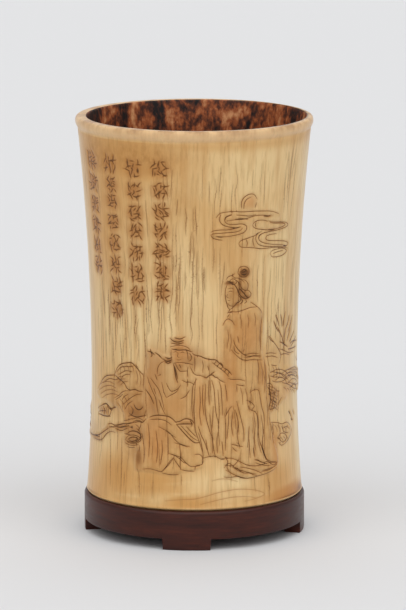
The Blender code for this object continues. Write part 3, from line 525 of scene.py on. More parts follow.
# Places stained dark: across, up, half width, half height, strength
STAINED = (
    (46, 16.9, 13, 1.1, 0.6), (58, 18.2, 6, 2.2, 0.5), (-53, 17, 9, 1, 0.4), (-16.4, 70, 5, 13, 0.26),
    (-16.6, 57, 4, 7, 0.3), (-24.4, 45.6, 4.6, 4.6, 0.34), (-24, 38, 4, 4, 0.26), (-43, 46, 8, 3.4, 0.14),
    (-52, 43.6, 7, 3, 0.16), (48, 86, 5, 4, 0.1), (-24, 55, 6, 13, 0.2), (-8, 60, 5, 15, 0.13),
    (-9, 47, 6, 6, 0.1), (-0.6, 77.8, 5.4, 4.4, 0.32), (8, 75, 5, 3.6, 0.15), (15.6, 69.6, 4, 4, 0.12),
    (-36, 56, 6, 6, 0.1), (0, 92, 5, 8, 0.08), (20.3, 111, 2.6, 2.2, 0.66), (14.2, 107.3, 2.4, 0.9, 0.55),
    (18.4, 104, 1.3, 2.2, 0.5), (20.6, 101.4, 2.8, 1.5, 0.5), (17, 98.6, 1.8, 1.1, 0.45),
    (-64.6, 46.8, 2.4, 5.6, 0.75), (64.8, 66, 1.6, 6, 0.5), (-30.6, 47.6, 5, 1.6, 0.4),
    (-24.8, 54.4, 5, 2.8, 0.45), (-33, 65, 3, 1.8, 0.3), (-27, 61.4, 4, 1, 0.25),
    (-26, 42.6, 4.6, 2.2, 0.32), (-21, 46, 1.2, 4, 0.25), (34.2, 58.6, 2.4, 5.4, 0.25),
    (36, 76.6, 2, 2.4, 0.14), (-6.8, 84.2, 2.8, 1.3, 0.35), (-10.2, 76.4, 1.9, 1.2, 0.5),
    (-17.6, 78.8, 1.8, 1.2, 0.3), (-5.8, 74, 2.4, 2, 0.25), (-7.4, 70.6, 1, 4, 0.35),
    (-25, 53.8, 4.6, 2, 0.4), (-27, 46.4, 4.6, 1.6, 0.25), (-26, 43.4, 3.2, 1.3, 0.4),
    (-43.6, 52.4, 4.4, 2, 0.3), (-22.8, 36.4, 1.7, 4.6, 0.5), (-22.6, 56.4, 3, 3.4, 0.35),
    (-33, 46.4, 3, 1.4, 0.3), (-11.4, 76.2, 1.8, 1.5, 0.35), (-3.6, 51.6, 3.2, 0.9, 0.35),
    (17.8, 104.6, 5.4, 6.2, 0.16), (20, 103, 2.6, 3, 0.4), (-5.8, 79.2, 4.4, 4.6, 0.16),
    (-51, 39.8, 6, 0.9, 0.35), (-33.4, 66.2, 1.6, 1.2, 0.35), (34.8, 59, 2.6, 4.6, 0.22),
    (14.6, 129.4, 2.6, 0.8, 0.3), (31, 132.9, 1.8, 0.5, 0.4), (32.6, 127.2, 2.6, 0.6, 0.35),
)

# Columns of marks in mm: how far across, and how high each mark is
MARK_COLUMNS = (
    (-46.6, (153.6, 144.6, 135.8, 127.4, 119.0, 111.2)),
    (-34.6, (153.6, 145.2, 138.4, 130.0, 121.4, 112.8, 103.8, 95.0)),
    (-23.5, (152.6, 143.8, 134.8, 127.4, 119.0, 110.6, 101.4)),
    (-12.8, (153.2, 144.4, 136.2, 128.2, 120.0, 111.8, 103.6)),
)
MARK_SHARE = 0.76  # a mark's height, as a share of the nearest marks' distance

# A mark's strokes: how far up and across they are, as shares of half its height, and their turns in degrees
MARK_ROWS = (0.85, 0.45, 0.05, -0.35, -0.75)
MARK_SIDES = (-0.6, 0.0, 0.6)
MARK_TURNS = (8, 20, 50, 80, 100, 125, 150)

# The brown patch behind each mark: half width, half height, strength
MARK_BROWN = (3.6, 3.6, 0.75)


def drawn(numbers):
    """Points in mm from a line of the tables."""
    return np.array(numbers, float).reshape(-1, 2) / 10


def smooth_line(points, step, closed=False):
    """A curve through the points, as an array with about this distance between its points."""
    given = np.array(points, float)
    if len(given) == 2 and not closed:
        count = max(int(np.ceil(np.linalg.norm(given[1] - given[0]) / step)), 1)
        share = np.linspace(0.0, 1.0, count + 1)[:, None]
        return given[0] * (1 - share) + given[1] * share
    if closed:
        padded = np.vstack([given[-1:], given, given[:2]])
    else:
        padded = np.vstack([2 * given[0] - given[1], given, 2 * given[-1] - given[-2]])
    pieces = []
    for a, b, c, d in zip(padded, padded[1:], padded[2:], padded[3:]):
        count = max(int(np.ceil(np.linalg.norm(c - b) / step)), 1)
        t = np.linspace(0.0, 1.0, count, endpoint=False)[:, None]
        bend = (2 * a - 5 * b + 4 * c - d) * t**2
        pieces.append(0.5 * (2 * b + (c - a) * t + bend + (3 * b - a - 3 * c + d) * t**3))
    if not closed:
        pieces.append(given[-1:])
    return np.vstack(pieces)


def distance_to_line(points, line, closed=False):
    """Distance of each point from a line of short straight pieces, and how far along it that is."""
    starts = line
    ends = np.roll(line, -1, axis=0)
    if not closed:
        starts, ends = starts[:-1], ends[:-1]
    best = np.full(len(points), np.inf)
    along = np.zeros(len(points))
    for i, (a, b) in enumerate(zip(starts, ends)):
        run = b - a
        length = max(float(run @ run), 1e-12)
        share = np.clip(((points - a) @ run) / length, 0.0, 1.0)
        gap = points - a - share[:, None] * run
        square = np.einsum("ij,ij->i", gap, gap)
        closer = square < best
        best[closer] = square[closer]
        along[closer] = (i + share[closer]) / len(starts)
    return np.sqrt(best), along


def inside_outline(points, outline):
    x, y = points[:, 0], points[:, 1]
    found = np.zeros(len(points), bool)
    for (x0, y0), (x1, y1) in zip(outline, np.roll(outline, -1, axis=0)):
        if y0 == y1:
            continue
        crosses = (y0 > y) != (y1 > y)
        found ^= crosses & (x < x0 + (y - y0) / (y1 - y0) * (x1 - x0))
    return found


def near(points, line, margin):
    """Numbers of the points in the box round a line, with this margin."""
    low = line.min(axis=0) - margin
    high = line.max(axis=0) + margin
    return np.flatnonzero(((points > low) & (points < high)).all(axis=1))


def oval_reach(points, x, y, half_width, half_height):
    """How far each point is from an oval's middle, where 1 is its edge."""
    return np.hypot((points[:, 0] - x) / half_width, (points[:, 1] - y) / half_height)


def soft_patches(points, patches):
    """The strongest of some soft ovals at each point."""
    amount = np.zeros(len(points))
    for *oval, strength in patches:
        amount = np.maximum(amount, strength * np.exp(-(oval_reach(points, *oval)**3)))
    return amount


def rows_of_strokes():
    """Every stroke of the rows, side by side."""
    for numbers, step, count in ROWS_OF_STROKES:
        for i in range(count):
            yield [(x + i * step[0], y + i * step[1]) for x, y in drawn(numbers)]


def mark_strokes(x, y, size, source):
    """Short bent strokes that fill one cell of a column and aren't a letter."""
    half = size / 2
    for row in MARK_ROWS:
        for side in MARK_SIDES:
            middle_x = x + half * (side + source.uniform(-0.2, 0.2))
            middle_y = y + half * (row + source.uniform(-0.2, 0.2))
            turn = math.radians(source.choice(MARK_TURNS) + source.uniform(-12, 12))
            reach = half * source.uniform(0.2, 0.5)
            run_x, run_y = reach * math.cos(turn), reach * math.sin(turn)
            bend = source.uniform(-0.25, 0.25)
            yield (
                (middle_x - run_x, middle_y - run_y),
                (middle_x - bend * run_y, middle_y + bend * run_x),
                (middle_x + run_x, middle_y + run_y),
            )


def all_marks():
    """The strokes of all marks, from seeded chance."""
    source = random.Random(11)
    for x, heights in MARK_COLUMNS:
        gaps = [a - b for a, b in zip(heights, heights[1:])]
        for y, above, below in zip(heights, gaps[:1] + gaps, gaps + gaps[-1:]):
            yield from mark_strokes(x, y, MARK_SHARE * min(above, below), source)


def wavy_crack(x, top, bottom, source):
    """A crack down the wall that wanders a little, and leans beside the marks."""
    points = []
    steps = max(int((top - bottom) / CRACK_RUN), 2)
    lean = source.uniform(-0.45, 0.15) if LEANING[0] < x < LEANING[1] else source.uniform(-0.1, 0.1)
    for i in range(steps + 1):
        points.append((x, top + (bottom - top) * i / steps))
        x += source.gauss(lean, CRACK_WANDER)
    return points


def small_cracks():
    """Seeded cracks: many where the wall is pale above the figures, few elsewhere and round the back."""
    source = random.Random(5)
    for low_x, high_x, top, bottom, count, length in CRACK_ZONES:
        for _ in range(count):
            start = source.uniform(bottom + length * 0.5, top)
            end = start - length * source.uniform(0.5, 1.2)
            points = wavy_crack(source.uniform(low_x, high_x), start, end, source)
            yield points, source.uniform(0.4, 1.0)


def cut_lines(lines, cut):
    """Smooth lines of one kind of cut, each with its half width, depth and darkness."""
    step, *shape = cut
    return [(smooth_line(points, step), *shape) for points in lines]


class Carving:
    """The wall's relief, stain, cracks and tones at any point of the drawing."""

    def __init__(self):
        kinds = (
            (map(drawn, DARK_LINES), DARK_CUT),
            (map(drawn, LINES), PLAIN_CUT),
            (rows_of_strokes(), FINE_CUT),
            (map(drawn, FACE_LINES), FACE_CUT),
            (map(drawn, LEAVES), LEAF_CUT),
            (map(drawn, FAINT_LINES), FAINT_CUT),
        )
        self.lines = [line for lines, cut in kinds for line in cut_lines(lines, cut)]
        self.marks = cut_lines(all_marks(), MARK_CUT)
        cracks = [(drawn(numbers), strength) for numbers, strength in LONG_CRACKS]
        cracks += small_cracks()
        self.cracks = [(smooth_line(points, CRACK_STEP), strength) for points, strength in cracks]

    def raised(self, points):
        """Height of the raised shapes in mm, and how brown they are."""
        height = np.zeros(len(points))
        tan = np.zeros(len(points))
        for *oval, rise in OVALS:
            form = np.sqrt(np.clip(1.0 - oval_reach(points, *oval)**2, 0.0, 1.0))
            share = OVAL_ON_OVAL + (1.0 - OVAL_ON_OVAL) * (height < ON_OVAL)
            height = height + rise * form * share
            tan = np.maximum(tan, OVAL_BROWN * np.clip(form * 2.0, 0.0, 1.0))
        base = np.zeros(len(points))
        for rise, soft, brown, numbers in OUTLINES:
            outline = smooth_line(drawn(numbers), OUTLINE_STEP, True)
            chosen = near(points, outline, OUTLINE_REACH)
            part = points[chosen]
            depth, _ = distance_to_line(part, outline, True)
            depth = np.where(inside_outline(part, outline), depth, -depth)
            form = 1.0 - np.exp(-np.clip(depth + OUTLINE_OUT, 0.0, None) / (OUTLINE_SLOPE * soft))
            layer = rise * form
            base[chosen] = np.maximum(base[chosen], layer) + LAYER_SHARE * np.minimum(base[chosen], layer)
            shade = brown * np.clip((depth + 0.5) / 1.6, 0.0, 1.0)
            tan[chosen] = np.maximum(tan[chosen], shade)
        return np.minimum(height + base, HIGHEST), tan

    def cuts(self, points):
        """Depth of the cut lines and marks in mm, their stain, and the brown beside them."""
        cut, stain, beside_cut = np.zeros((3, len(points)))
        for line, half_width, depth, dark in self.lines + self.marks:
            chosen = near(points, line, CUT_REACH)
            gap, along = distance_to_line(points[chosen], line)
            dark = dark * (LINE_END + (1.0 - LINE_END) * np.sin(math.pi * along) ** 0.6)
            groove = depth * np.clip(1.25 - gap / (1.3 * half_width), 0.0, 1.0)
            cut[chosen] = np.maximum(cut[chosen], groove)
            stain[chosen] = np.maximum(stain[chosen], dark * np.clip(1.2 - gap / half_width, 0.0, 1.0))
            brown = dark * np.exp(-((gap / CUT_BROWN) ** 2))
            beside_cut[chosen] = np.maximum(beside_cut[chosen], brown)
        return cut, stain, beside_cut

    def crack_strength(self, points):
        crack = np.zeros(len(points))
        for line, strength in self.cracks:
            chosen = near(points, line, CRACK_REACH)
            gap, along = distance_to_line(points[chosen], line)
            strength = strength * np.sin(math.pi * along) ** 0.5
            crack[chosen] = np.maximum(crack[chosen], strength * np.clip(1.1 - gap / CRACK_WIDTH, 0.0, 1.0))
        return crack

    def measure(self, points):
        """Relief in mm at each point of the drawing, and the strength of each tone there."""
        height, tan = self.raised(points)
        cut, stain, beside_cut = self.cuts(points)
        crack = self.crack_strength(points)
        height = height - cut - CUT_SINK * beside_cut * (height > SINKING) - CRACK_DEPTH * crack
        # Raised shapes are browner beside the cuts and paler between them: partly stain spreading from the
        # cuts, partly painted shade in the folds and painted highlight on the ridges between them.
        tan = np.maximum(tan * (0.62 + 0.38 * np.clip(1.6 * beside_cut, 0.0, 1.0)), 0.45 * beside_cut)
        pale = soft_patches(points, PALE_PATCHES_AND_PAINTED_SHEEN)
        for numbers in PALE_LINES:
            gap, _ = distance_to_line(points, smooth_line(drawn(numbers), 2.0))
            pale = np.maximum(pale, 0.5 * np.exp(-((gap / 0.6) ** 2)))
        marks = [(x, y, *MARK_BROWN) for x, heights in MARK_COLUMNS for y in heights]
        behind = soft_patches(points, marks)
        # A painted shade under the lip's overhang, given to the honey tone
        middle, half_height, strength = LIP_SHADE_BAND
        painted_lip_shade = strength * np.exp(-(((points[:, 1] - middle) / half_height) ** 2))
        return {
            "relief": height,
            "tan": np.maximum(np.maximum(tan, behind), soft_patches(points, TAN_PATCHES)),
            "warm": np.maximum(soft_patches(points, WARM_PATCHES), 0.8 * behind),
            "stain": np.maximum(np.maximum(soft_patches(points, STAINED), stain), 0.3 * behind),
            "crack": crack,
            "pale": pale,
            "honey": np.maximum(soft_patches(points, HONEY_PATCHES), painted_lip_shade),
        }

    def centre_lines(self):
        return [line for line, *_ in (*self.lines, *self.marks, *self.cracks)]

    def side_points(self):
        """Points for the mesh along both sides of each cut line and crack."""
        for line, half_width, *_ in self.lines:
            yield from beside(line, 1.1 * half_width)
        for line, half_width, *_ in self.marks:
            yield from beside(line, half_width)
        for line, _ in self.cracks:
            yield from beside(line, CRACK_SIDE)


def beside(line, offset):
    """The line moved by this much to its left, and to its right."""
    run = np.gradient(line, axis=0)
    run /= np.maximum(np.linalg.norm(run, axis=1), 1e-9)[:, None]
    side = np.stack([-run[:, 1], run[:, 0]], axis=1)
    return line + offset * side, line - offset * side


def close_points(line, step=0.15):
    """Points at this distance along a line."""
    lengths = np.linalg.norm(np.diff(line, axis=0), axis=1)
    run = np.concatenate([[0.0], np.cumsum(lengths)])
    at = np.arange(0.0, run[-1], step)
    return np.stack([np.interp(at, run, line[:, 0]), np.interp(at, run, line[:, 1])], axis=1)


def grid(low_x, high_x, low_y, high_y, pitch, source):
    """Slightly uneven points in staggered rows."""
    across = np.arange(low_x, high_x, pitch)
    up = np.arange(low_y, high_y, pitch * 0.87)
    x, y = np.meshgrid(across, up)
    x = x + (np.arange(len(up)) % 2)[:, None] * pitch / 2
    points = np.stack([x.ravel(), y.ravel()], axis=1)
    return points + source.uniform(-0.12, 0.12, points.shape) * pitch


def drawing_points(low, high, carving):
    """Points of the unrolled wall, close where it is carved, and the edges that must stay."""
    source = np.random.default_rng(3)
    front = (-FRONT_HALF, FRONT_HALF, low + 1.0, high - 1.0, FRONT_PITCH)
    back = (-HALF_TURN + 1.5, HALF_TURN - 1.5, low + 1.5, high - 1.5, BACK_PITCH)
    kept = []
    edges = []
    taken = set()

    def cell(x, y):
        return round(x / CELL), round(y / CELL)

    def keep(x, y):
        if abs(x) > HALF_TURN - 1.2 or not low + 0.8 < y < high - 0.8:
            return False
        taken.add(cell(x, y))
        kept.append((x, y))
        return True

    for line in carving.centre_lines():
        joined = False
        for x, y in line:
            placed = keep(x, y)
            if placed and joined:
                edges.append((len(kept) - 2, len(kept) - 1))
            joined = placed
    for x, y in np.vstack(list(carving.side_points())):
        keep(x, y)
    for line in carving.centre_lines():
        row = close_points(line)
        for points in (row, *beside(row, CELL)):
            taken.update(cell(x, y) for x, y in points)
    covered = []
    for zone in (*FINE_ZONES, front, back):
        points = grid(*zone, source)
        for x0, x1, y0, y1 in covered:
            hidden = (points[:, 0] > x0) & (points[:, 0] < x1) & (points[:, 1] > y0) & (points[:, 1] < y1)
            points = points[~hidden]
        covered.append(zone[:4])
        for x, y in points:
            if cell(x, y) not in taken:
                keep(x, y)
    return np.array(kept), edges


def wall_radius(z, base, top):
    """Outer radius of the plain wall in mm, as the solids have it."""
    waist = base + WAIST_SHARE * (top - base)
    neck = top - LIP_HEIGHT
    above = np.clip((z - waist) / (neck - waist), 0.0, 1.0)
    below = np.clip((waist - z) / (waist - base), 0.0, 1.0)
    return WAIST_RADIUS + (NECK_RADIUS - WAIST_RADIUS) * above**2 + (FOOT_RADIUS - WAIST_RADIUS) * below**1.8


def quarter(radius, z, size, first, last, step):
    """Radius and height round a rounded edge of this size, inwards and down, by turns in degrees."""
    turns = [math.radians(degrees) for degrees in range(first, last, step)]
    return [(radius - size * (1 - math.cos(turn)), z + size * (1 - math.sin(turn))) for turn in turns]


def lip_profile(top):
    """Radius and height over the flared lip, from the neck to the mouth of the bore."""
    lip = NECK_RADIUS + LIP_OVERHANG
    mouth = NECK_RADIUS - WALL + MOUTH_ROUNDING
    flare = (
        (NECK_RADIUS - 0.02, 4.9), (NECK_RADIUS + 0.06, 4.4), (NECK_RADIUS + 0.42, 3.8), (lip - 0.26, 3.2),
        (lip - 0.08, 2.6), (lip, 2.0), (lip - 0.04, 1.4), (lip - 0.2, 0.85), (lip - 0.5, 0.42),
        (lip - 0.95, 0.14), (lip - 1.5, 0.02), (mouth + 1.2 * MOUTH_ROUNDING, 0.0),
    )
    return [(radius, top - down) for radius, down in flare]


def bore_profile(base, top):
    """Radius and height down the inside, from the rounded mouth to the floor."""
    mouth = NECK_RADIUS - WALL + MOUTH_ROUNDING
    floor = base + FLOOR
    waist = base + WAIST_SHARE * (top - base)
    inner = WAIST_RADIUS - WALL
    points = []
    for degrees in range(75, -1, -15):
        turn = math.radians(degrees)
        radius = mouth + MOUTH_ROUNDING * (1 - math.cos(turn))
        points.append((radius, top - MOUTH_ROUNDING * (1 - math.sin(turn))))
    for z in np.linspace(top - LIP_HEIGHT, floor + FLOOR_ROUNDING, BORE_ROWS):
        points.append((float(wall_radius(max(z, waist), base, top)) - WALL, float(z)))
    points += quarter(inner, floor, FLOOR_ROUNDING, 15, 91, 15)
    return points + [(inner * share, floor) for share in (0.7, 0.45, 0.2)]


def foot_profile(base):
    """Radius and height from the wall's foot, in over the spigot, to the underside."""
    spigot = FOOT_RADIUS - SPIGOT_INSET
    step = base + RECESS
    return quarter(FOOT_RADIUS, step, FOOT_EDGE, 0, 91, 18) + [
        (spigot, step), (spigot, base + SMALL_EDGE), (spigot - SMALL_EDGE, base), (spigot * 0.6, base),
        (spigot * 0.25, base),
    ]


def turned_row(radius, z, turns, centre_x=0.0):
    """Points round the axis at these turns."""
    return np.stack([centre_x + radius * np.sin(turns), -radius * np.cos(turns), z + 0.0 * turns], axis=1)


def strip_faces(first, second):
    """Quads between two closed rows of point numbers."""
    count = len(first)
    return [(first[i], first[(i + 1) % count], second[(i + 1) % count], second[i]) for i in range(count)]


def fan_faces(row, centre):
    """Triangles from a closed row of point numbers to one point."""
    return [(row[i], row[(i + 1) % len(row)], centre) for i in range(len(row))]


def unrolled_wall(low, high, carving):
    """Points and faces of the flat drawing, its left and right edges at the same heights."""
    inner, edges = drawing_points(low, high, carving)
    across = np.linspace(-HALF_TURN, HALF_TURN, COLUMNS + 1)
    side = np.linspace(low, high, WALL_ROWS + 2)[1:-1]
    rims = [np.stack([across, np.full(COLUMNS + 1, z)], axis=1) for z in (low, high)]
    sides = [np.stack([np.full(len(side), x), side], axis=1) for x in (-HALF_TURN, HALF_TURN)]
    flat = np.vstack([inner, *rims, *sides])
    result = delaunay_2d_cdt([Vector(point) for point in flat], edges, [], 0, CLOSE)
    return np.array([tuple(point) for point in result[0]]), result[2]


def rolled_faces(flat, faces):
    """The faces once the wall's left and right edges have become one."""
    number = np.arange(len(flat))
    keys = {round(point[1], 4): i for i, point in enumerate(flat) if point[0] < -HALF_TURN + CLOSE}
    for i in np.flatnonzero(flat[:, 0] > HALF_TURN - CLOSE):
        number[i] = keys[round(flat[i, 1], 4)]
    return [tuple(int(number[i]) for i in face) for face in faces]


def rim(flat, chosen):
    """Numbers of the chosen points from left to right, without the last, which is the first again."""
    return [int(i) for i in sorted(np.flatnonzero(chosen), key=lambda i: flat[i, 0])[:-1]]


def pot_mesh():
    """The whole pot as one closed mesh: carved wall, lip, bore and foot."""
    low_corner, high_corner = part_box("brush_pot")
    base = low_corner[2] / MM
    top = high_corner[2] / MM
    foot = foot_profile(base)
    low = foot[0][1]
    high = top - LIP_HEIGHT
    carving = Carving()
    flat, faces = unrolled_wall(low, high, carving)
    tones = carving.measure(flat)
    across, up = flat[:, 0], flat[:, 1]
    fade = np.clip((up - low) / END_FADE, 0.0, 1.0) * np.clip((high - up) / END_FADE, 0.0, 1.0)
    tones["relief"] *= fade * np.clip((HALF_TURN - np.abs(across)) / SEAM_FADE, 0.0, 1.0)
    wall = turned_row(wall_radius(up, base, top) + tones["relief"], up, across / DRAWN_RADIUS)
    faces = rolled_faces(flat, faces)

    turns = np.arange(COLUMNS) * 2 * math.pi / COLUMNS - math.pi
    points = [wall]
    inside = [0] * len(faces)
    count = len(wall)
    lip = lip_profile(top)
    rows = [turned_row(radius, z, turns) for radius, z in lip]
    rows += [turned_row(radius, z, turns, BORE_OFFSET) for radius, z in bore_profile(base, top)]
    previous = rim(flat, up > high - CLOSE)
    for index, row in enumerate(rows):
        current = list(range(count, count + COLUMNS))
        faces += strip_faces(previous, current)
        inside += [int(index > len(lip) + 1)] * COLUMNS
        points.append(row)
        previous = current
        count += COLUMNS
    points.append(np.array([[BORE_OFFSET, 0.0, base + FLOOR]]))
    faces += fan_faces(previous, count)
    inside += [1] * COLUMNS
    count += 1
    previous = rim(flat, up < low + CLOSE)
    for radius, z in foot[1:]:
        current = list(range(count, count + COLUMNS))
        faces += strip_faces(current, previous)
        points.append(turned_row(radius, z, turns))
        previous = current
        count += COLUMNS
    points.append(np.array([[0.0, 0.0, base]]))
    faces += [(b, a, centre) for a, b, centre in fan_faces(previous, count)]
    inside += [0] * (len(faces) - len(inside))

    points = np.vstack(points) * MM
    used = np.unique([i for face in faces for i in face])
    renumber = np.full(len(points), -1)
    renumber[used] = np.arange(len(used))
    mesh = bpy.data.meshes.new("carved_pot")
    mesh.from_pydata(points[used].tolist(), [], [tuple(int(renumber[i]) for i in face) for face in faces])
    extra = np.zeros(len(points) - len(wall))
    for name, values in tones.items():
        attribute = mesh.attributes.new(name, "FLOAT", "POINT")
        attribute.data.foreach_set("value", np.concatenate([values, extra])[used].astype(np.float32))
    mesh.polygons.foreach_set("material_index", inside)
    mesh.shade_smooth()
    mesh.update()
    return mesh


def stand_turns():
    """Turns round the stand, closer at the feet's sides, and how high its lower edge is at each."""
    half = math.radians(FOOT_WIDTH / 2)
    corner = math.radians(FOOT_SLOPE)
    middles = [math.radians(FEET_TURN + 360.0 * index / FEET) for index in range(FEET)]
    turns = set(np.round(np.arange(COLUMNS) * 2 * math.pi / COLUMNS, 6))
    for middle in middles:
        for edge in (-half, half):
            for share in (-3.0, -1.0, -0.5, 0.0, 0.5, 1.0, 3.0):
                turns.add(round((middle + edge + share * corner) % (2 * math.pi), 6))
    turns = np.array(sorted(turns))
    under = np.full(len(turns), FOOT_HEIGHT)
    for middle in middles:
        apart = np.abs((turns - middle + math.pi) % (2 * math.pi) - math.pi)
        share = np.clip((half + corner / 2 - apart) / corner, 0.0, 1.0)
        under -= FOOT_HEIGHT * share * share * (3 - 2 * share)
    return turns, under


def stand_mesh():
    """The turned ring, its feet made by letting the ring's lower edge reach the ground."""
    low_corner, high_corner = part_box("wooden_stand")
    top = high_corner[2] / MM
    outer = high_corner[0] / MM
    turns, under = stand_turns()
    recess = FOOT_RADIUS - SPIGOT_INSET + GAP
    floor = top - RECESS
    hollow = floor - BOARD
    inner = outer - APRON

    # Radius, height, and whether the row follows the lower edge
    rows = [(recess * 0.3, floor, 0), (recess * 0.8, floor, 0), (recess, floor, 0), (recess, top - 0.3, 0)]
    rows += [(recess + 0.12, top - 0.08, 0), (recess + 0.3, top, 0)]
    for degrees in range(0, 91, 15):
        turn = math.radians(degrees)
        radius = outer - EDGE_ROUNDING * (1 - math.sin(turn))
        rows.append((radius, top - EDGE_ROUNDING * (1 - math.cos(turn)), 0))
    rows += [(outer + 0.02, top - 4.0, 0), (outer + 0.02, FOOT_HEIGHT + 3.0, 0), (outer, 1.2, 1)]
    rows += [(radius, z, 1) for radius, z in quarter(outer, 0.0, SMALL_EDGE, 20, 91, 35)]
    rows += [(inner + 0.6, 0.0, 1), (inner + 0.1, 0.2, 1), (inner, 0.7, 1), (inner, FOOT_HEIGHT + 0.8, 0)]
    rows += [(inner, hollow - 0.6, 0), (inner - 0.6, hollow, 0), (inner * 0.5, hollow, 0)]

    points = [turned_row(radius, z + under * moves, turns) for radius, z, moves in rows]
    count = len(turns)
    numbers = [list(range(row * count, (row + 1) * count)) for row in range(len(rows))]
    faces = []
    for first, second in zip(numbers, numbers[1:]):
        faces += strip_faces(second, first)
    centre = len(rows) * count
    points.append(np.array([[0.0, 0.0, floor], [0.0, 0.0, hollow]]))
    faces += fan_faces(numbers[0], centre)
    faces += [(b, a, end) for a, b, end in fan_faces(numbers[-1], centre + 1)]
    mesh = bpy.data.meshes.new("turned_stand")
    mesh.from_pydata((np.vstack(points) * MM).tolist(), [], faces)
    mesh.shade_smooth()
    mesh.set_sharp_from_angle(angle=math.radians(SHARP_ANGLE))
    mesh.update()
    return mesh


class Nodes:
    """Short calls for building a material's nodes."""

    def __init__(self, name):
        self.material = bpy.data.materials.new(name)
        self.material.use_nodes = True
        self.tree = self.material.node_tree
        self.shader = self.tree.nodes["Principled BSDF"]

    def uniform(self, settings):
        """Inputs of the shader that are the same all over."""
        for name, value in settings.items():
            self.shader.inputs[name].default_value = value

    def make(self, kind, **values):
        node = self.tree.nodes.new(kind)
        for name, value in values.items():
            setattr(node, name, value)
        return node

    def link(self, source, target):
        self.tree.links.new(source, target)

    def fill(self, socket, value):
        """A link if the value comes from a node, else the value itself; colours are given without alpha."""
        if isinstance(value, bpy.types.NodeSocket):
            self.link(value, socket)
        elif isinstance(value, tuple):
            socket.default_value = (*value, 1.0)
        else:
            socket.default_value = value

    def coordinates(self):
        """Object coordinates in metres."""
        return self.make("ShaderNodeTexCoord").outputs["Object"]

    def noise(self, stretch, scale, detail=3.0, roughness=0.5, distortion=0.0):
        """Noise over the object coordinates, which are scaled along each axis first."""
        mapping = self.make("ShaderNodeMapping")
        mapping.inputs["Scale"].default_value = stretch
        self.link(self.coordinates(), mapping.inputs["Vector"])
        node = self.make("ShaderNodeTexNoise")
        self.link(mapping.outputs["Vector"], node.inputs["Vector"])
        node.inputs["Scale"].default_value = scale
        node.inputs["Detail"].default_value = detail
        node.inputs["Roughness"].default_value = roughness
        node.inputs["Distortion"].default_value = distortion
        return node.outputs["Fac"]

    def along(self, axis):
        """Object coordinate along one axis, in metres."""
        split = self.make("ShaderNodeSeparateXYZ")
        self.link(self.coordinates(), split.inputs["Vector"])
        return split.outputs[axis]

    def attribute(self, name):
        return self.make("ShaderNodeAttribute", attribute_name=name).outputs["Fac"]

    def ramp(self, value, stops):
        node = self.make("ShaderNodeValToRGB")
        self.link(value, node.inputs["Fac"])
        elements = node.color_ramp.elements
        while len(elements) < len(stops):
            elements.new(0.5)
        for element, (place, colour) in zip(elements, stops):
            element.position = place
            element.color = (*colour, 1.0)
        return node.outputs["Color"]

    def spread(self, value, low, high, first=0.0, last=1.0):
        """The range from low to high becomes the one from first to last, and ends there."""
        node = self.make("ShaderNodeMapRange")
        for place, number in enumerate((value, low, high, first, last)):
            self.fill(node.inputs[place], number)
        return node.outputs["Result"]

    def math(self, operation, first, second):
        node = self.make("ShaderNodeMath", operation=operation, use_clamp=operation != "SUBTRACT")
        self.fill(node.inputs[0], first)
        self.fill(node.inputs[1], second)
        return node.outputs["Value"]

    def blend(self, first, second, share):
        """Two noises added, the first with this share."""
        parts = [self.math("MULTIPLY", *pair) for pair in ((first, share), (second, 1.0 - share))]
        return self.math("ADD", *parts)

    def mix(self, share, first, second):
        node = self.make("ShaderNodeMix", data_type="RGBA")
        self.fill(node.inputs["Factor"], share)
        self.fill(node.inputs[6], first)
        self.fill(node.inputs[7], second)
        return node.outputs[2]

    def bump(self, value, strength, distance):
        node = self.make("ShaderNodeBump")
        node.inputs["Strength"].default_value = strength
        node.inputs["Distance"].default_value = distance
        self.link(value, node.inputs["Height"])
        self.link(node.outputs["Normal"], self.shader.inputs["Normal"])

    def colour(self, socket):
        self.link(socket, self.shader.inputs["Base Color"])


def linear(red, green, blue):
    """Scene colour of an sRGB colour given from 0 to 255."""
    return tuple(
        (value / 255 / 12.92) if value <= 10 else ((value / 255 + 0.055) / 1.055) ** 2.4
        for value in (red, green, blue)
    )


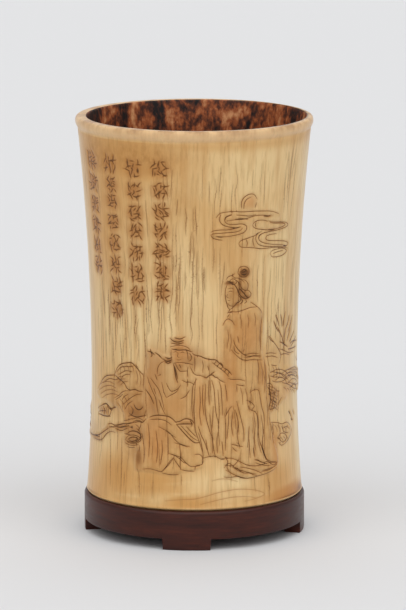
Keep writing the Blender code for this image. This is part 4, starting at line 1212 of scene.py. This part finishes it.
def ivory_material():
    nodes = Nodes("Aged ivory")
    wide = nodes.noise((1.0, 1.0, 0.5), 38.0)
    streak = nodes.noise((1.0, 1.0, 0.02), 1100.0, 3.0, 0.6)
    band = nodes.noise((1.0, 1.0, 0.05), 300.0, 3.0, 0.55)
    mottle = nodes.noise((1.0, 1.0, 0.35), 190.0, 3.0, 0.55)
    fine = nodes.noise((1.0, 1.0, 0.6), 520.0, 3.0, 0.6)
    height = nodes.along("Z")
    ground = nodes.mix(nodes.spread(wide, 0.35, 0.65), linear(212, 168, 108), linear(222, 183, 128))
    # The pale tone, which also holds the painted sheen on the wall's sides
    ground = nodes.mix(nodes.attribute("pale"), ground, linear(231, 203, 151))
    # The honey tone, which also holds the painted shade under the lip
    ground = nodes.mix(nodes.attribute("honey"), ground, linear(200, 147, 82))
    ground = nodes.mix(nodes.spread(band, 0.45, 0.7, 0.0, 0.45), ground, linear(190, 138, 76))
    ground = nodes.mix(nodes.spread(streak, 0.5, 0.75, 0.0, 0.45), ground, linear(160, 118, 66))
    # The tan of the raised shapes, mottled; it holds the painted shade in the folds and the painted
    # highlight between them.
    tan_and_painted_fold_shading = nodes.math("MULTIPLY", nodes.attribute("tan"), nodes.spread(mottle, 0.35, 0.65, 0.45, 1.0))
    worn_colour = nodes.mix(nodes.spread(fine, 0.4, 0.62), linear(192, 143, 84), linear(166, 115, 60))
    brown = nodes.mix(tan_and_painted_fold_shading, ground, worn_colour)
    brown = nodes.mix(nodes.math("MULTIPLY", nodes.attribute("warm"), 0.6), brown, linear(190, 122, 58))
    cracked = nodes.mix(nodes.attribute("crack"), brown, linear(122, 74, 26))
    stain = nodes.attribute("stain")
    edged = nodes.mix(nodes.math("MULTIPLY", stain, 1.8), cracked, linear(156, 102, 50))
    stained = nodes.mix(nodes.spread(stain, 0.35, 0.95), edged, linear(50, 29, 9))
    # The lip's upper part turns a paler pink: a painted highlight along the lip.
    lip = nodes.mix(nodes.spread(height, 0.1638, 0.1652, 0.0, 0.45), stained, linear(226, 194, 156))
    on_top = nodes.spread(height, 0.1662, 0.1684, 0.0, 0.62)
    smudge = nodes.math("MULTIPLY", nodes.spread(mottle, 0.42, 0.62), on_top)
    nodes.colour(nodes.mix(smudge, lip, linear(150, 106, 70)))
    nodes.link(nodes.spread(streak, 0.3, 0.8, 0.36, 0.5), nodes.shader.inputs["Roughness"])
    nodes.uniform({
        "Specular IOR Level": 0.2,
        "Sheen Weight": 0.34,
        "Sheen Roughness": 0.32,
        "Subsurface Weight": 0.06,
        "Subsurface Radius": (1.0, 0.5, 0.25),
        "Subsurface Scale": 0.001,
    })
    nodes.bump(streak, 0.2, 0.0003)
    return nodes.material


def inside_material():
    nodes = Nodes("Stained inside")
    large = nodes.noise((1.0, 1.0, 0.7), 105.0, 3.0, 0.6, 0.6)
    small = nodes.noise((1.0, 1.0, 0.6), 420.0, 4.0, 0.65)
    mixed = nodes.blend(large, small, 0.6)
    deep = nodes.spread(nodes.along("Z"), 0.152, 0.163, 0.04, 0.0)
    left = nodes.spread(nodes.along("X"), -0.03, -0.006, 0.05, -0.03)
    right = nodes.spread(nodes.along("X"), 0.014, 0.034, 0.0, 0.045)
    for darker in (deep, left, right):
        mixed = nodes.math("SUBTRACT", mixed, darker)
    nodes.colour(nodes.ramp(mixed, (
        (0.41, linear(22, 12, 9)),
        (0.48, linear(88, 43, 23)),
        (0.55, linear(160, 84, 42)),
        (0.66, linear(212, 150, 100)),
    )))
    nodes.uniform({"Roughness": 0.5, "Specular IOR Level": 0.3})
    nodes.bump(small, 0.4, 0.0004)
    return nodes.material


def wood_material():
    nodes = Nodes("Waxed dark hardwood")
    grain = nodes.noise((0.1, 0.1, 1.0), 1500.0, 4.0, 0.6)
    broad = nodes.noise((0.12, 0.12, 1.0), 260.0, 2.0, 0.5)
    nodes.colour(nodes.ramp(nodes.blend(grain, broad, 0.5), (
        (0.25, linear(34, 12, 6)),
        (0.5, linear(60, 21, 10)),
        (0.75, linear(82, 32, 15)),
    )))
    nodes.link(nodes.spread(grain, 0.3, 0.7, 0.28, 0.42), nodes.shader.inputs["Roughness"])
    nodes.uniform({"Specular IOR Level": 0.32})
    nodes.bump(grain, 0.3, 0.0002)
    return nodes.material


def floor_material():
    nodes = Nodes("Pale paper floor")
    nodes.uniform({"Base Color": (*linear(218, 218, 219), 1.0), "Roughness": 0.9, "Specular IOR Level": 0.1})
    return nodes.material


def add_object(name, data):
    obj = bpy.data.objects.new(name, data)
    bpy.context.scene.collection.objects.link(obj)
    return obj


def add_pot():
    mesh = pot_mesh()
    mesh.materials.append(ivory_material())
    mesh.materials.append(inside_material())
    pot = add_object("carved_ivory_pot", mesh)
    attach(pot, "root")
    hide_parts("brush_pot")


def add_stand():
    mesh = stand_mesh()
    mesh.materials.append(wood_material())
    stand = add_object("turned_wooden_stand", mesh)
    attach(stand, "root")
    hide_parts("wooden_stand")


def add_floor():
    half = 6.0
    mesh = bpy.data.meshes.new("floor")
    corners = [(-half, -half, 0.0), (half, -half, 0.0), (half, half, 0.0), (-half, half, 0.0)]
    mesh.from_pydata(corners, [], [(0, 1, 2, 3)])
    mesh.materials.append(floor_material())
    floor = add_object("floor", mesh)


def add_lights():
    world = bpy.data.worlds.new("Soft room")
    world.use_nodes = True
    background = world.node_tree.nodes["Background"]
    background.inputs["Color"].default_value = (0.98, 0.99, 1.0, 1.0)
    background.inputs["Strength"].default_value = 0.48
    bpy.context.scene.world = world
    for name, azimuth, elevation, spread, strength in SUNS:
        data = bpy.data.lights.new(name, "SUN")
        data.angle = math.radians(spread)
        data.energy = strength
        light = add_object(name, data)
        turn, rise = math.radians(azimuth), math.radians(elevation)
        towards = Vector((math.sin(turn) * math.cos(rise), -math.cos(turn) * math.cos(rise), math.sin(rise)))
        light.rotation_euler = towards.to_track_quat("Z", "Y").to_euler()


def add_camera():
    data = bpy.data.cameras.new("Camera")
    data.sensor_fit = "VERTICAL"
    data.sensor_height = SENSOR
    data.lens = SENSOR * FOCAL_PIXELS / PICTURE_HEIGHT
    data.clip_start = 0.1
    data.clip_end = 20.0
    camera = add_object("Camera", data)
    camera.location = (CAMERA_ASIDE, -CAMERA_DISTANCE, CAMERA_HEIGHT)
    camera.rotation_euler = (math.radians(90.0 - CAMERA_PITCH), 0.0, 0.0)
    bpy.context.scene.camera = camera


def main():
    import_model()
    bpy.context.scene.view_settings.view_transform = "Standard"
    add_camera()
    add_lights()
    add_floor()
    add_pot()
    add_stand()


main()
